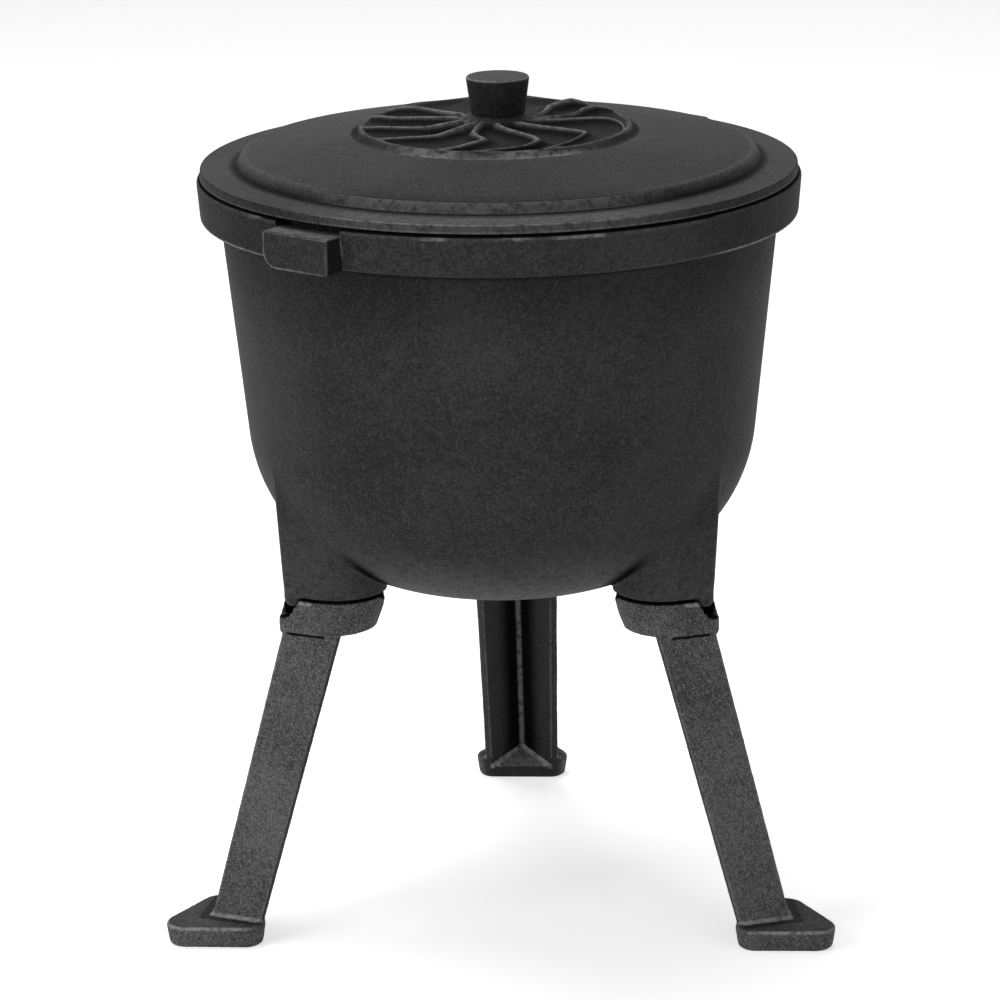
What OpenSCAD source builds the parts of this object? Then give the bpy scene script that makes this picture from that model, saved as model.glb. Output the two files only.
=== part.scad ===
// Enamelled cast iron cooking pot on three bolted legs, with a cast lid.
// Millimetres, +Z up. The origin lies on the ground under the pot's axis,
// and the rear leg stands at azimuth 90 degrees.

/* [Pot] */
// Height of the faces under the belly bosses above the ground
boss_z = 167; // [150:0.5:190]
// How far the belly hangs below the boss faces
belly_drop = 10.4; // [6:0.2:13]
// Outer height of the pot from the belly's lowest point to the rim
pot_h = 205.9; // [190:0.5:225]
// Thickness of the belly and wall
wall_t = 4.5; // [3.5:0.1:6]
// How far the wall is set in from the foot of the rim band
wall_step = 9.3; // [8:0.1:11]
// Lean of the wall from the vertical, in degrees
wall_lean = 5.8; // [4:0.1:7]
// Radius of the curve between the wall and the bottom
knuckle_r = 82; // [70:1:95]
// Radius of the dished bottom
dish_r = 211; // [180:1:240]

/* [Rim] */
// Outer radius of the rim band at its top
rim_r = 145; // [138:0.5:155]
// Height of the rim band
rim_h = 18.5; // [16:0.5:22]
// How much smaller the band's radius is at its lower edge
rim_draft = 1.6; // [0.5:0.1:2.4]
// Thickness of the collar wall round the lid
rim_t = 6.5; // [5:0.1:8]
// Depth of the inner ledge below the rim's top
ledge_d = 13; // [11:0.5:14.5]
// Rounding of the band's edges
rim_round = 2.2; // [1:0.1:2.8]

/* [Lugs] */
// Azimuth of the first lug, in degrees
lug_az = 55.7; // [45:0.1:75]
// How far the lugs stand out beyond the rim
lug_reach = 8.2; // [5:0.1:14]
// Width of a lug at its outer face
lug_w = 37.4; // [26:0.2:44]
// Extra width of a lug at its root
lug_flare = 0.6; // [0.5:0.1:6]
// Depth of the lugs' top, and of the notch behind it, below the rim's top
lug_drop = 3.2; // [2.4:0.1:4.6]
// Rounding of a lug's lower corners
lug_round = 4.5; // [2:0.1:6]

/* [Bosses and heads] */
// Radius of the circle that the leg bolts stand on
bolt_circle_r = 90; // [84:0.5:94]
// Radius of the round inner side of a boss
boss_r = 23.4; // [20:0.1:25]
// Turn of a boss's two outer faces from the tangential direction
face_turn = 38; // [34:0.5:44]
// Rounding of the outer edge where the two faces meet
arris_r = 5; // [3:0.1:7]
// Lean of a boss's sides from the vertical, in degrees
boss_draft = 3; // [1.5:0.1:4]
// How far the tab hangs below a boss
tab_h = 3; // [1.5:0.1:4.5]
// Radius of the tab
tab_r = 4.2; // [3:0.1:4.6]
// Visible joint between a boss and the leg head
joint_gap = 1; // [0.5:0.1:2]
// Radius of the raised seat round the bolt
seat_r = 11; // [9.5:0.1:13]
// Height of a leg head
head_h = 16.5; // [14:0.5:20]
// Depth of the notch in a leg head that the tab drops into
notch_h = 7.5; // [5.5:0.1:9]
// Width of that notch at its mouth
notch_w = 12; // [10.5:0.1:13]
// Slope of the head's top at its inner end, in degrees
head_slope = 26; // [8:1:30]
// Depth of the recess under a head that takes the bolt and its washer
recess_d = 3; // [0.5:0.1:5]
// Width left round the washer in that recess, as a radius
recess_gap = 1.5; // [0.5:0.1:2]

/* [Legs and feet] */
// Distance of a leg's outer edge from the pot's axis at the foot
edge_foot_r = 162; // [150:0.5:170]
// Distance of that edge from the axis under the head
edge_head_r = 120.4; // [116:0.2:121.6]
// Turn of a leg's two outer faces from the tangential direction
leg_turn = 40; // [36:0.5:43]
// Width of a leg's face at the foot
face_foot_w = 25.7; // [21:0.1:28]
// Width of a leg's face under the head
face_head_w = 28.9; // [24:0.1:30]
// Thickness of a leg's two flanges
flange_t = 5.8; // [4.5:0.1:7]
// Fillet in the inner corner of a leg
fillet_r = 3; // [1:0.1:4]
// Rounding of a flange's long edges
edge_round = 1.4; // [0.5:0.1:2]
// Thickness of a foot
foot_t = 11; // [9:0.5:14]
// Distance of a foot's inner side from the pot's axis
foot_in_r = 141; // [134:0.5:143]
// Length of a foot from its inner side to its rounded point
foot_l = 44.5; // [42:0.5:56]
// Half angle of the foot's outer point, in degrees
foot_angle = 30.4; // [26:0.2:33]
// Corner radius of a foot
foot_r = 10; // [7:0.1:12]
// Chamfer round a foot's top edge
foot_edge = 1.2; // [0.5:0.1:2]
// Height of the ramp in a leg's inner corner above the foot
ramp_up = 4; // [2:0.5:8]
// Depth of that ramp below the foot's top at the inner side
ramp_down = 4.6; // [2:0.2:7]

/* [Lid] */
// Gap between the rim and the lid's flange
lid_gap = 0.4; // [0.3:0.1:1]
// How much smaller than the rim the lid's radius is
lid_inset = 1.7; // [0.5:0.1:3]
// Thickness of the flange at its edge
flange_edge_t = 4.5; // [3.5:0.1:6]
// Width of the flange from its edge to the step
flange_w = 17.2; // [14:0.2:20]
// Rise of the flange towards the step
flange_rise = 0.9; // [0.3:0.1:1.6]
// Height of the step up to the dome
step_h = 5.4; // [3:0.1:7]
// Width of the step's slope
step_w = 3.3; // [2:0.1:5]
// Rise of the dome from the step to the middle
dome_rise = 11.9; // [8:0.1:16]
// Thickness of the lid's dome
lid_t = 4.5; // [3.5:0.1:6]
// Clearance of the locating ring inside the rim
ring_gap = 2; // [1:0.1:3]
// Thickness of the locating ring
ring_t = 3.5; // [2.5:0.1:5]
// Depth of the locating ring below the flange
ring_h = 7; // [4:0.5:9]

/* [Rosette] */
// Number of curled ridges
ridge_count = 11; // [7:1:13]
// Turn of the first ridge, in degrees
ridge_start = 199.5; // [180:0.5:220]
// Radius of the rosette's outer edge
rosette_r = 66.8; // [60:0.2:72]
// Height of the ridges above the dome
ridge_h = 4.6; // [2.5:0.1:5.5]
// Height of the scoops' floor above the dome
scoop_h = 0.6; // [0.4:0.1:1]
// Radius of the hub's flat top
hub_r = 13.4; // [13.1:0.1:15]
// Height of the hub above the middle of the dome
hub_h = 4.8; // [3:0.1:7]
// Radius of the hub's foot
hub_foot_r = 24; // [20:0.5:28]

/* [Knob] */
// Radius of the knob at its bottom
knob_foot_r = 12.8; // [10:0.1:13]
// Radius of the knob at its top
knob_top_r = 15.3; // [13.5:0.1:17]
// Height of the knob
knob_h = 18.2; // [14:0.2:24]
// Rounding of the knob's top edge
knob_round = 1.3; // [0.5:0.1:2]

/* [Fasteners] */
// Diameter of the leg bolts
bolt_d = 8; // [6:1:9]
// How far a leg bolt reaches into its boss
bolt_grip = 12.5; // [9:0.5:13]
// Width across flats of the leg bolts' heads
bolt_head_af = 13; // [11:0.5:15]
// Height of the leg bolts' heads
bolt_head_h = 5.3; // [4:0.1:7]
// Outer radius of the leg washers
washer_r = 8; // [7.6:0.1:9]
// Thickness of the leg washers
washer_t = 1.6; // [1:0.1:2.5]
// Diameter of the knob screw
screw_d = 6; // [5:0.5:7]
// How far the screw reaches into the knob
screw_grip = 10; // [8:0.5:12]
// Radius of the screw's head
screw_head_r = 5.8; // [5:0.1:6.4]
// Height of the screw's head
screw_head_h = 3.4; // [2.5:0.1:5]
// Outer radius of the knob washer
knob_washer_r = 7.5; // [6.8:0.1:9]
// Thickness of the knob washer
knob_washer_t = 1.2; // [0.8:0.1:2]
// Radial clearance of a fastener in a plain hole
hole_gap = 0.5; // [0.2:0.1:0.8]
// Radial clearance of a thread in its tapped hole
thread_gap = 0.05; // [0.02:0.01:0.15]
// Space between the end of a fastener and the end of its hole
end_gap = 1.2; // [0.5:0.1:1.5]

/* [Hidden] */
$fn = 96;
enamel = "#2b2b2d";
raw_iron = "#3a3a3c";
steel = "#9a9c9e";
// How far cutting and joining solids reach past the faces they pass
over = 1;
// Slight breaking of edges that would otherwise be sharp
small_round = 0.6;
// Three legs, evenly spaced
leg_count = 3;
pitch = 360 / leg_count;
rear_az = 90;
left_az = rear_az + pitch;
right_az = rear_az + 2 * pitch;

// Heights
belly_z = boss_z - belly_drop;
rim_z = belly_z + pot_h;
band_z = rim_z - rim_h;
ledge_z = rim_z - ledge_d;
head_z = boss_z - joint_gap;
head_foot_z = head_z - head_h;
flange_z = rim_z + lid_gap;

// Pot profile: the wall's line, the knuckle arc and the dish arc
band_r = rim_r - rim_draft;
wall_r = band_r - wall_step;
collar_r = rim_r - rim_t;
lean = tan(wall_lean);
lean_len = sqrt(1 + lean * lean);

// Leg lines, measured outward from the bolt circle where a leg is drawn
edge_slope = (edge_foot_r - edge_head_r) / (head_foot_z - foot_t);
tip_x = (boss_r - arris_r) / cos(face_turn) + arris_r;
corner_x = edge_foot_r - bolt_circle_r - flange_t / cos(leg_turn);
bolt_seat_z = head_foot_z + recess_d;

// Foot outline: a triangle with round corners
foot_point_r = foot_in_r + foot_l - foot_r + foot_r / sin(foot_angle);
foot_half_w = (foot_point_r - foot_in_r) * tan(foot_angle);

// Lid profile
lid_r = rim_r - lid_inset;
crease_r = lid_r - flange_w;
dome_r = crease_r - step_w;
crease_z = flange_z + flange_edge_t + flange_rise;
dome_foot_z = crease_z + step_h;
dome_z = dome_foot_z + dome_rise;
hub_z = dome_z + hub_h;
lid_under_z = dome_z - lid_t;

// Points of an arc round c, from one angle to another in n steps
function arc(c, r, from, to, n) =
    [for (i = [0:n]) c + r * [cos(from + (to - from) * i / n), sin(from + (to - from) * i / n)]];

// Vector of length 1 along v
function unit(v) = v / norm(v);

// Arc of radius r that rounds the corner p between the points a and b
function corner(a, p, b, r, n) =
    let (u = unit(a - p))
    let (v = unit(b - p))
    let (half = acos(u * v) / 2)
    let (c = p + unit(u + v) * r / sin(half))
    let (s = p + u * r / tan(half) - c)
    let (e = p + v * r / tan(half) - c)
    let (from = atan2(s[1], s[0]))
    let (turn = atan2(s[0] * e[1] - s[1] * e[0], s * e))
    arc(c, r, from, from + turn, n);

// Outline with each corner rounded by its own radius
function rounded(p, radii, n) =
    let (m = len(p))
    [for (i = [0:m - 1]) each corner(p[(i + m - 1) % m], p[i], p[(i + 1) % m], radii[i], n)];

// Outline moved sideways
function moved(p, by) = [for (q = p) q + by];

// Centre of the arc that joins the wall's line to the dished bottom
function knuckle_centre() =
    let (w0 = wall_r - lean * band_z - knuckle_r * lean_len)
    let (cz = belly_z + dish_r)
    let (a = 1 + lean * lean)
    let (b = 2 * (w0 * lean - cz))
    let (c = w0 * w0 + cz * cz - pow(dish_r - knuckle_r, 2))
    let (z = (-b - sqrt(b * b - 4 * a * c)) / (2 * a))
    [w0 + lean * z, z];

// Points of the belly from the axis up to the wall, t inside the outer face
function belly_points(t, n) =
    let (k = knuckle_centre())
    let (top = belly_z + dish_r)
    let (dish_end = atan2(k[0], top - k[1]))
    concat(
        arc([0, top], dish_r - t, -90, -90 + dish_end, n),
        [for (i = [1:n]) k + (knuckle_r - t) * [
            cos(-90 + dish_end + (90 - dish_end - wall_lean) * i / n),
            sin(-90 + dish_end + (90 - dish_end - wall_lean) * i / n)
        ]]
    );

// Radius of the wall at height z, t inside the outer face
function wall_at(z, t) = wall_r - lean * (band_z - z) - t * lean_len;

// Height of the dome's outer face at radius r
function dome_at(r) = dome_z - dome_rise * pow(r / dome_r, 2);

// Plan of a boss or a leg head: a round inner side and two flat outer faces
function teardrop(r) =
    let (d = (r - arris_r) / cos(face_turn))
    concat(
        arc([0, 0], r, face_turn, 360 - face_turn, 28),
        arc([d, 0], arris_r, -face_turn, face_turn, 6)
    );

// Plan of the angle section, with the outer edge at x = 0
function angle_plan(w) =
    let (s = sin(leg_turn))
    let (c = cos(leg_turn))
    let (side = [-w * s, w * c])
    let (inner = side + flange_t * [-c, -s])
    rounded(
        [[0, 0], side, inner, [-flange_t / c, 0], [inner[0], -inner[1]], [side[0], -side[1]]],
        [edge_round * 1.5, edge_round, edge_round, fillet_r, edge_round, edge_round],
        4
    );

// Solid through outlines of equal length, each at its own height
module loft(outlines, heights) {
    n = len(outlines[0]);
    levels = len(outlines);
    points = [for (k = [0:levels - 1]) for (q = outlines[k]) [q[0], q[1], heights[k]]];
    sides = [
        for (k = [0:levels - 2])
        for (i = [0:n - 1])
        let (j = (i + 1) % n)
        each [
            [k * n + i, (k + 1) * n + i, (k + 1) * n + j],
            [k * n + i, (k + 1) * n + j, k * n + j]
        ]
    ];
    bottom = [[for (i = [0:n - 1]) i]];
    top = [[for (i = [n - 1:-1:0]) (levels - 1) * n + i]];
    polyhedron(points, concat(sides, bottom, top), convexity = 6);
}

// Places a leg's pieces with x outward from the bolt's axis
module at_leg(az) {
    rotate([0, 0, az]) translate([bolt_circle_r, 0, 0]) children();
}

// Belly, wall and rim band as one turned solid
module pot_outside() {
    steps = 14;
    rotate_extrude() polygon(concat(
        belly_points(0, steps),
        [[wall_r, band_z + rim_round]],
        corner([wall_r, band_z], [band_r, band_z], [rim_r, rim_z], rim_round, 4),
        corner([band_r, band_z], [rim_r, rim_z], [collar_r, rim_z], rim_round / 2, 3),
        [[0, rim_z]]
    ));
}

// Hollow of the pot, with the ledge and the collar round the lid
module pot_inside() {
    steps = 14;
    rotate_extrude() polygon(concat(
        belly_points(wall_t, steps),
        [
            [wall_at(ledge_z, wall_t), ledge_z],
            [collar_r - rim_round / 2, ledge_z],
            [collar_r, ledge_z + rim_round / 2],
            [collar_r, rim_z + over],
            [0, rim_z + over]
        ]
    ));
}

// Boss under the belly, with the tab at its outer edge. It reaches up into
// the pot's hollow, which cuts it off at the belly's inner face
module boss() {
    boss_h = 74;
    spread = boss_h * tan(boss_draft);
    loft([teardrop(boss_r), teardrop(boss_r + spread)], [boss_z, boss_z + boss_h]);
    translate([tip_x - arris_r, 0, boss_z - tab_h]) cylinder(h = tab_h + over, r = tab_r);
}

// Tapped hole for a leg bolt
module boss_hole() {
    translate([0, 0, boss_z - over])
        cylinder(h = bolt_grip + end_gap + over, r = bolt_d / 2 + thread_gap);
}

// Lug with a flat face, a flared root and rounded lower corners
module lug() {
    face_x = rim_r + lug_reach;
    root_x = wall_r - wall_t;
    half = lug_w / 2;
    root_half = half + lug_flare / 2;
    lug_h = rim_h - lug_drop;
    far = rim_r + 2 * lug_reach;
    intersection() {
        translate([0, 0, band_z]) linear_extrude(lug_h)
            polygon([
                [root_x, -root_half], [band_r, -root_half], [face_x, -half],
                [face_x, half], [band_r, root_half], [root_x, root_half]
            ]);
        translate([0, 0, band_z]) rotate([90, 0, 90]) linear_extrude(far)
            polygon(rounded(
                [[-root_half, 0], [root_half, 0], [root_half, lug_h], [-root_half, lug_h]],
                [lug_round, lug_round, small_round, small_round],
                5
            ));
    }
}

// Notch through the collar behind a lug, down to the lug's top
module lug_notch() {
    half = (lug_w + lug_flare) / 2;
    notch_in = collar_r - 3 * over;
    notch_len = rim_r + lug_reach + over - notch_in;
    translate([notch_in, -half, rim_z - lug_drop]) cube([notch_len, 2 * half, lug_drop + over]);
}

// Pot casting: belly, rim band, bosses and lugs
module pot_body() {
    color(enamel) difference() {
        union() {
            pot_outside();
            for (i = [0:leg_count - 1]) at_leg(rear_az + i * pitch) boss();
            for (i = [0:1]) rotate([0, 0, lug_az + 180 * i]) lug();
        }
        pot_inside();
        for (i = [0:leg_count - 1]) at_leg(rear_az + i * pitch) boss_hole();
        for (i = [0:1]) rotate([0, 0, lug_az + 180 * i]) lug_notch();
    }
}

// Head block of a leg: the boss's plan, drawn outward along the leg's lean,
// and drawn in a little below a crease line
module head_block() {
    crease_h = head_h * 0.62;
    under_inset = 1.2;
    under_lean = 0.9;
    loft(
        [
            moved(teardrop(boss_r - under_inset), [edge_slope * head_h * under_lean, 0]),
            moved(teardrop(boss_r), [edge_slope * crease_h, 0]),
            teardrop(boss_r)
        ],
        [head_foot_z, head_z - crease_h, head_z]
    );
}

// Notch at the head's outer edge, narrower at its foot
module head_notch() {
    notch_x = tip_x - arris_r - tab_r - joint_gap;
    narrowing = 0.6;
    foot_w = notch_w * narrowing;
    translate([notch_x, 0, head_z]) rotate([90, 0, 90]) linear_extrude(notch_w * 2)
        polygon([
            [-notch_w / 2, over], [-notch_w / 2, 0], [-foot_w / 2, -notch_h],
            [foot_w / 2, -notch_h], [notch_w / 2, 0], [notch_w / 2, over]
        ]);
}

// Wedge that slopes the head's top down towards its inner end
module head_slope_cut() {
    translate([-seat_r - small_round, 0, head_z]) rotate([0, -head_slope, 0])
        translate([-2 * boss_r, -2 * boss_r, 0]) cube([2 * boss_r, 4 * boss_r, boss_r]);
}

// Angle-section column from the foot's top into the head
module column() {
    sunk = 3;
    top_z = head_foot_z + sunk;
    top_x = edge_head_r - bolt_circle_r - edge_slope * sunk;
    base_z = foot_t - over;
    base_x = edge_foot_r - bolt_circle_r + edge_slope * over;
    loft(
        [moved(angle_plan(face_foot_w), [base_x, 0]), moved(angle_plan(face_head_w), [top_x, 0])],
        [base_z, top_z]
    );
}

// Foot outline drawn inward by e
function foot_plan(e) =
    let (in_x = foot_in_r - bolt_circle_r + e)
    let (point_x = foot_point_r - bolt_circle_r - e / sin(foot_angle))
    let (half = foot_half_w - e / tan(45 - foot_angle / 2))
    rounded([[in_x, -half], [point_x, 0], [in_x, half]], [foot_r - e, foot_r - e, foot_r - e], 6);

// Foot pad with a chamfered top edge
module foot_pad() {
    plain_h = foot_t - foot_edge;
    linear_extrude(plain_h) polygon(foot_plan(0));
    loft([foot_plan(0), foot_plan(foot_edge)], [plain_h, foot_t]);
}

// Wedge between the flanges, from a point x out past the foot's inner side
module corner_space(x, to_z) {
    from_z = foot_t / 4;
    reach = x - (foot_in_r - bolt_circle_r) + over;
    half = reach / tan(leg_turn);
    translate([0, 0, from_z]) linear_extrude(to_z - from_z)
        polygon([[x, 0], [x - reach, half], [x - reach, -half]]);
}

// Ramp in the leg's inner corner that runs down through the foot's inner side
module corner_ramp() {
    in_x = foot_in_r - bolt_circle_r;
    run = corner_x - in_x;
    tilt = atan2(ramp_up + ramp_down, run);
    cut = 3 * run;
    top_z = foot_t + ramp_up + over;
    difference() {
        intersection() {
            corner_space(corner_x + flange_t / 2, top_z);
            linear_extrude(top_z) polygon(foot_plan(0));
        }
        translate([in_x, 0, foot_t - ramp_down]) rotate([0, -tilt, 0])
            translate([-cut, -cut, 0]) cube([3 * cut, 2 * cut, cut]);
    }
}

// One leg: pad foot, ramp, angle-section column and head with its seat
module leg(az) {
    color(raw_iron) at_leg(az) difference() {
        union() {
            difference() {
                foot_pad();
                corner_space(corner_x + flange_t / 3, foot_t + over);
            }
            corner_ramp();
            column();
            head_block();
            translate([0, 0, head_z - over]) cylinder(h = joint_gap + over, r = seat_r);
        }
        head_notch();
        head_slope_cut();
        translate([0, 0, head_foot_z - over])
            cylinder(h = head_h + joint_gap + 2 * over, r = bolt_d / 2 + hole_gap);
        translate([0, 0, head_foot_z - over])
            cylinder(h = recess_d + over, r = washer_r + recess_gap);
    }
}

// Hexagon bolt that comes up through a leg's head into its boss
module leg_bolt(az) {
    head_top_z = bolt_seat_z - washer_t;
    head_corner_r = bolt_head_af / 2 / cos(30);
    color(steel) at_leg(az) {
        translate([0, 0, head_top_z - bolt_head_h])
            cylinder(h = bolt_head_h, r = head_corner_r, $fn = 6);
        translate([0, 0, head_top_z - over])
            cylinder(h = boss_z + bolt_grip - head_top_z + over, r = bolt_d / 2);
    }
}

// Washer between a bolt's head and the leg
module leg_washer(az) {
    color(steel) at_leg(az) translate([0, 0, bolt_seat_z - washer_t]) difference() {
        cylinder(h = washer_t, r = washer_r);
        translate([0, 0, -over]) cylinder(h = washer_t + 2 * over, r = bolt_d / 2 + hole_gap / 2);
    }
}

// Lid shell: flange, step and dome outside, locating ring and hollow inside
module lid_shell() {
    steps = 16;
    ring_r = collar_r - ring_gap;
    ring_in_r = ring_r - ring_t;
    ring_low_z = flange_z - ring_h;
    ring_draft = 1;
    ring_edge = 0.8;
    spot_r = knob_washer_r + 1.5;
    under_r = min(dome_r, ring_in_r) - 2;
    edge_top_z = flange_z + flange_edge_t;
    edge_draft = 0.3;
    top_round = 1;
    crease_round = 1.5;
    shoulder_round = 2.5;
    tangent = 9;
    dome_start_r = dome_r - 4;
    rotate_extrude() polygon(concat(
        [[0, lid_under_z], [spot_r, lid_under_z]],
        [for (i = [1:steps])
            let (r = spot_r + (under_r - spot_r) * i / steps)
            [r, dome_at(r) - lid_t]],
        [
            [ring_in_r - ring_draft, flange_z], [ring_in_r, ring_low_z],
            [ring_r - ring_edge, ring_low_z], [ring_r, ring_low_z + ring_edge],
            [ring_r, flange_z]
        ],
        corner([ring_r, flange_z], [lid_r, flange_z], [lid_r, edge_top_z], small_round, 2),
        corner(
            [lid_r, flange_z], [lid_r - edge_draft, edge_top_z], [crease_r, crease_z],
            top_round, 3
        ),
        corner(
            [lid_r, edge_top_z], [crease_r, crease_z], [dome_r, dome_foot_z],
            crease_round, 3
        ),
        corner(
            [crease_r, crease_z], [dome_r, dome_foot_z],
            [dome_r - tangent, dome_at(dome_r - tangent)],
            shoulder_round, 4
        ),
        [for (i = [1:steps])
            let (r = dome_start_r * (1 - i / steps))
            [r, dome_at(r)]]
    ));
}

// Turn of a ridge's crest along the radius share u, in degrees: it swings
// forward, then curls back until it has run into the outer lip
function crest_turn(u) =
    let (turn_u = 0.72)
    let (end_u = 0.95)
    let (inner = max(0, 1 - u / turn_u))
    let (outer = max(0, (min(u, end_u) - turn_u) / (1 - turn_u)))
    -45 * pow(inner, 1.7) - 22 * outer - 60 * pow(outer, 7);

// Height of the curled ridges over the dome. Part is 1 on a crest and 0 in
// the middle of a scoop, and a lower lip closes the scoops outside
function ridge_at(u, part) =
    let (scoop = pow(part, 2.2))
    let (lip_u = 0.8)
    let (lip_share = 0.75)
    let (lip_rise = max(0, (u - lip_u) / (1 - lip_u)))
    let (crest_share = 1 - (1 - lip_share) * lip_rise)
    let (lip_height = lip_share * min(1, pow(lip_rise, 1.5) * 1.3))
    scoop_h + (ridge_h - scoop_h) * max(scoop * crest_share, lip_height);

// Flared hub over the ridges' inner ends
function hub_at(r) =
    r <= hub_r ? hub_h
    : hub_h * pow(max(0, 1 - (r - hub_r) / (hub_foot_r - hub_r)), 2);

// Height of the rosette's surface: the ridges grow out of the hub's foot
function rosette_z(r, part) =
    let (grow_w = 5)
    let (hub_share = 0.4)
    let (ridge = ridge_at(r / rosette_r, part) * min(1, max(0, (r - hub_r) / grow_w)))
    r <= hub_r ? hub_z : dome_at(r) + max(ridge, hub_at(r) + ridge * hub_share);

// Curled rosette round the hub, as one surface over the dome. Each ring of
// points is turned with the crests, so that an edge runs along every crest
module rosette() {
    per_ridge = 10;
    n = ridge_count * per_ridge;
    rings = 15;
    closeness = 1.3;
    lip_slope = 1.6;
    lip_sunk = 0.8;
    outer_r = rosette_r - lip_slope;
    root_z = dome_at(rosette_r) - lid_t / 2;
    shares = [for (k = [0:rings]) 1 - pow(1 - k / rings, closeness)];
    radii = [for (share = shares) hub_r + (outer_r - hub_r) * share];
    levels = rings + 2;
    end_az = ridge_start + crest_turn(1);
    points = concat(
        [for (r = radii) for (i = [0:n - 1])
            let (az = ridge_start + crest_turn(r / rosette_r) + 360 * i / n)
            let (part = abs(2 * (i % per_ridge) / per_ridge - 1))
            [r * cos(az), r * sin(az), rosette_z(r, part)]],
        [for (z = [dome_at(rosette_r) - lip_sunk, root_z]) for (i = [0:n - 1])
            let (az = end_az + 360 * i / n)
            [rosette_r * cos(az), rosette_r * sin(az), z]],
        [[0, 0, dome_z - lid_t / 2]]
    );
    sides = [
        for (k = [0:levels - 1])
        for (i = [0:n - 1])
        let (j = (i + 1) % n)
        each [
            [k * n + i, (k + 1) * n + j, (k + 1) * n + i],
            [k * n + i, k * n + j, (k + 1) * n + j]
        ]
    ];
    top = [[for (i = [n - 1:-1:0]) i]];
    bottom = [for (i = [0:n - 1]) [levels * n + i, levels * n + (i + 1) % n, (levels + 1) * n]];
    polyhedron(points, concat(sides, top, bottom), convexity = 10);
}

// Lid with its rosette and the hole for the knob's screw
module lid() {
    color(enamel) difference() {
        union() {
            lid_shell();
            rosette();
        }
        translate([0, 0, lid_under_z - over])
            cylinder(h = lid_t + hub_h + 2 * over, r = screw_d / 2 + hole_gap);
    }
}

// Knob: a cone that widens upward, tapped from below
module knob() {
    top_z = hub_z + knob_h;
    color(enamel) difference() {
        rotate_extrude() polygon(concat(
            [
                [0, hub_z], [knob_foot_r - small_round, hub_z],
                [knob_foot_r, hub_z + small_round]
            ],
            corner([knob_foot_r, hub_z], [knob_top_r, top_z], [0, top_z], knob_round, 4),
            [[0, top_z]]
        ));
        translate([0, 0, hub_z - over])
            cylinder(h = screw_grip + end_gap + over, r = screw_d / 2 + thread_gap);
    }
}

// Washer between the screw's head and the lid
module knob_washer() {
    color(steel) translate([0, 0, lid_under_z - knob_washer_t]) difference() {
        cylinder(h = knob_washer_t, r = knob_washer_r);
        translate([0, 0, -over])
            cylinder(h = knob_washer_t + 2 * over, r = screw_d / 2 + hole_gap / 2);
    }
}

// Pan-head screw that holds the knob from below the lid
module knob_screw() {
    head_top_z = lid_under_z - knob_washer_t;
    slot_w = 1.4;
    slot_d = 1.6;
    color(steel) difference() {
        union() {
            rotate_extrude() polygon(concat(
                [[0, head_top_z], [screw_head_r, head_top_z]],
                corner(
                    [screw_head_r, head_top_z], [screw_head_r, head_top_z - screw_head_h],
                    [0, head_top_z - screw_head_h], screw_head_h * 0.5, 4
                ),
                [[0, head_top_z - screw_head_h]]
            ));
            translate([0, 0, head_top_z - over])
                cylinder(h = hub_z + screw_grip - head_top_z + over, r = screw_d / 2);
        }
        translate([-screw_head_r - over, -slot_w / 2, head_top_z - screw_head_h - over])
            cube([2 * (screw_head_r + over), slot_w, slot_d + over]);
    }
}

module leg_rear() { leg(rear_az); }
module leg_left() { leg(left_az); }
module leg_right() { leg(right_az); }
module leg_bolt_rear() { leg_bolt(rear_az); }
module leg_bolt_left() { leg_bolt(left_az); }
module leg_bolt_right() { leg_bolt(right_az); }
module leg_washer_rear() { leg_washer(rear_az); }
module leg_washer_left() { leg_washer(left_az); }
module leg_washer_right() { leg_washer(right_az); }

pot_body();
lid();
knob();
knob_screw();
knob_washer();
leg_rear();
leg_left();
leg_right();
leg_bolt_rear();
leg_bolt_left();
leg_bolt_right();
leg_washer_rear();
leg_washer_left();
leg_washer_right();
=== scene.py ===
# Cast iron pot on three bolted legs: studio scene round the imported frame.
import bpy
import math
import random
from mathutils import Matrix, Vector, noise


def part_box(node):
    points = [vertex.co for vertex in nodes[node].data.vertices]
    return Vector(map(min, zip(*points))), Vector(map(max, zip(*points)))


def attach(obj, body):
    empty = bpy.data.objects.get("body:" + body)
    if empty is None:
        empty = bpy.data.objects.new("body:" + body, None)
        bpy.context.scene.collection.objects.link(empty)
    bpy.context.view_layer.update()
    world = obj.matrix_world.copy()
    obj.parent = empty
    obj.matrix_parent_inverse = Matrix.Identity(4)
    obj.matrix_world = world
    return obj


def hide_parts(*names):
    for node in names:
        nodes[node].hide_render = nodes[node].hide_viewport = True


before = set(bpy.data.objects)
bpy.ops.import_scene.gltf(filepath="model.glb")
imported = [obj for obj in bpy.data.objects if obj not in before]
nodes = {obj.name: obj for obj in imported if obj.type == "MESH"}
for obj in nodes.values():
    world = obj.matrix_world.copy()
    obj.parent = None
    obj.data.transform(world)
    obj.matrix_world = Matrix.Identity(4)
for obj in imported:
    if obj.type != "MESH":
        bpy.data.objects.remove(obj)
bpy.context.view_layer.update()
legNodes = {"leg_rear": 90, "leg_left": 210, "leg_right": 330}
print("stage: frame loaded")

# Small helpers for modelling


def deselectAll():
    if bpy.context.object and bpy.context.object.mode != "OBJECT":
        bpy.ops.object.mode_set(mode="OBJECT")
    bpy.ops.object.select_all(action="DESELECT")


def makeActive(obj):
    deselectAll()
    obj.select_set(True)
    bpy.context.view_layer.objects.active = obj


def tidyMesh(obj, threshold=0.000002):
    # merge seams and poles, then turn all faces outward
    makeActive(obj)
    bpy.ops.object.mode_set(mode="EDIT")
    bpy.ops.mesh.select_all(action="SELECT")
    bpy.ops.mesh.remove_doubles(threshold=threshold)
    bpy.ops.mesh.normals_make_consistent(inside=False)
    bpy.ops.object.mode_set(mode="OBJECT")


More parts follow.
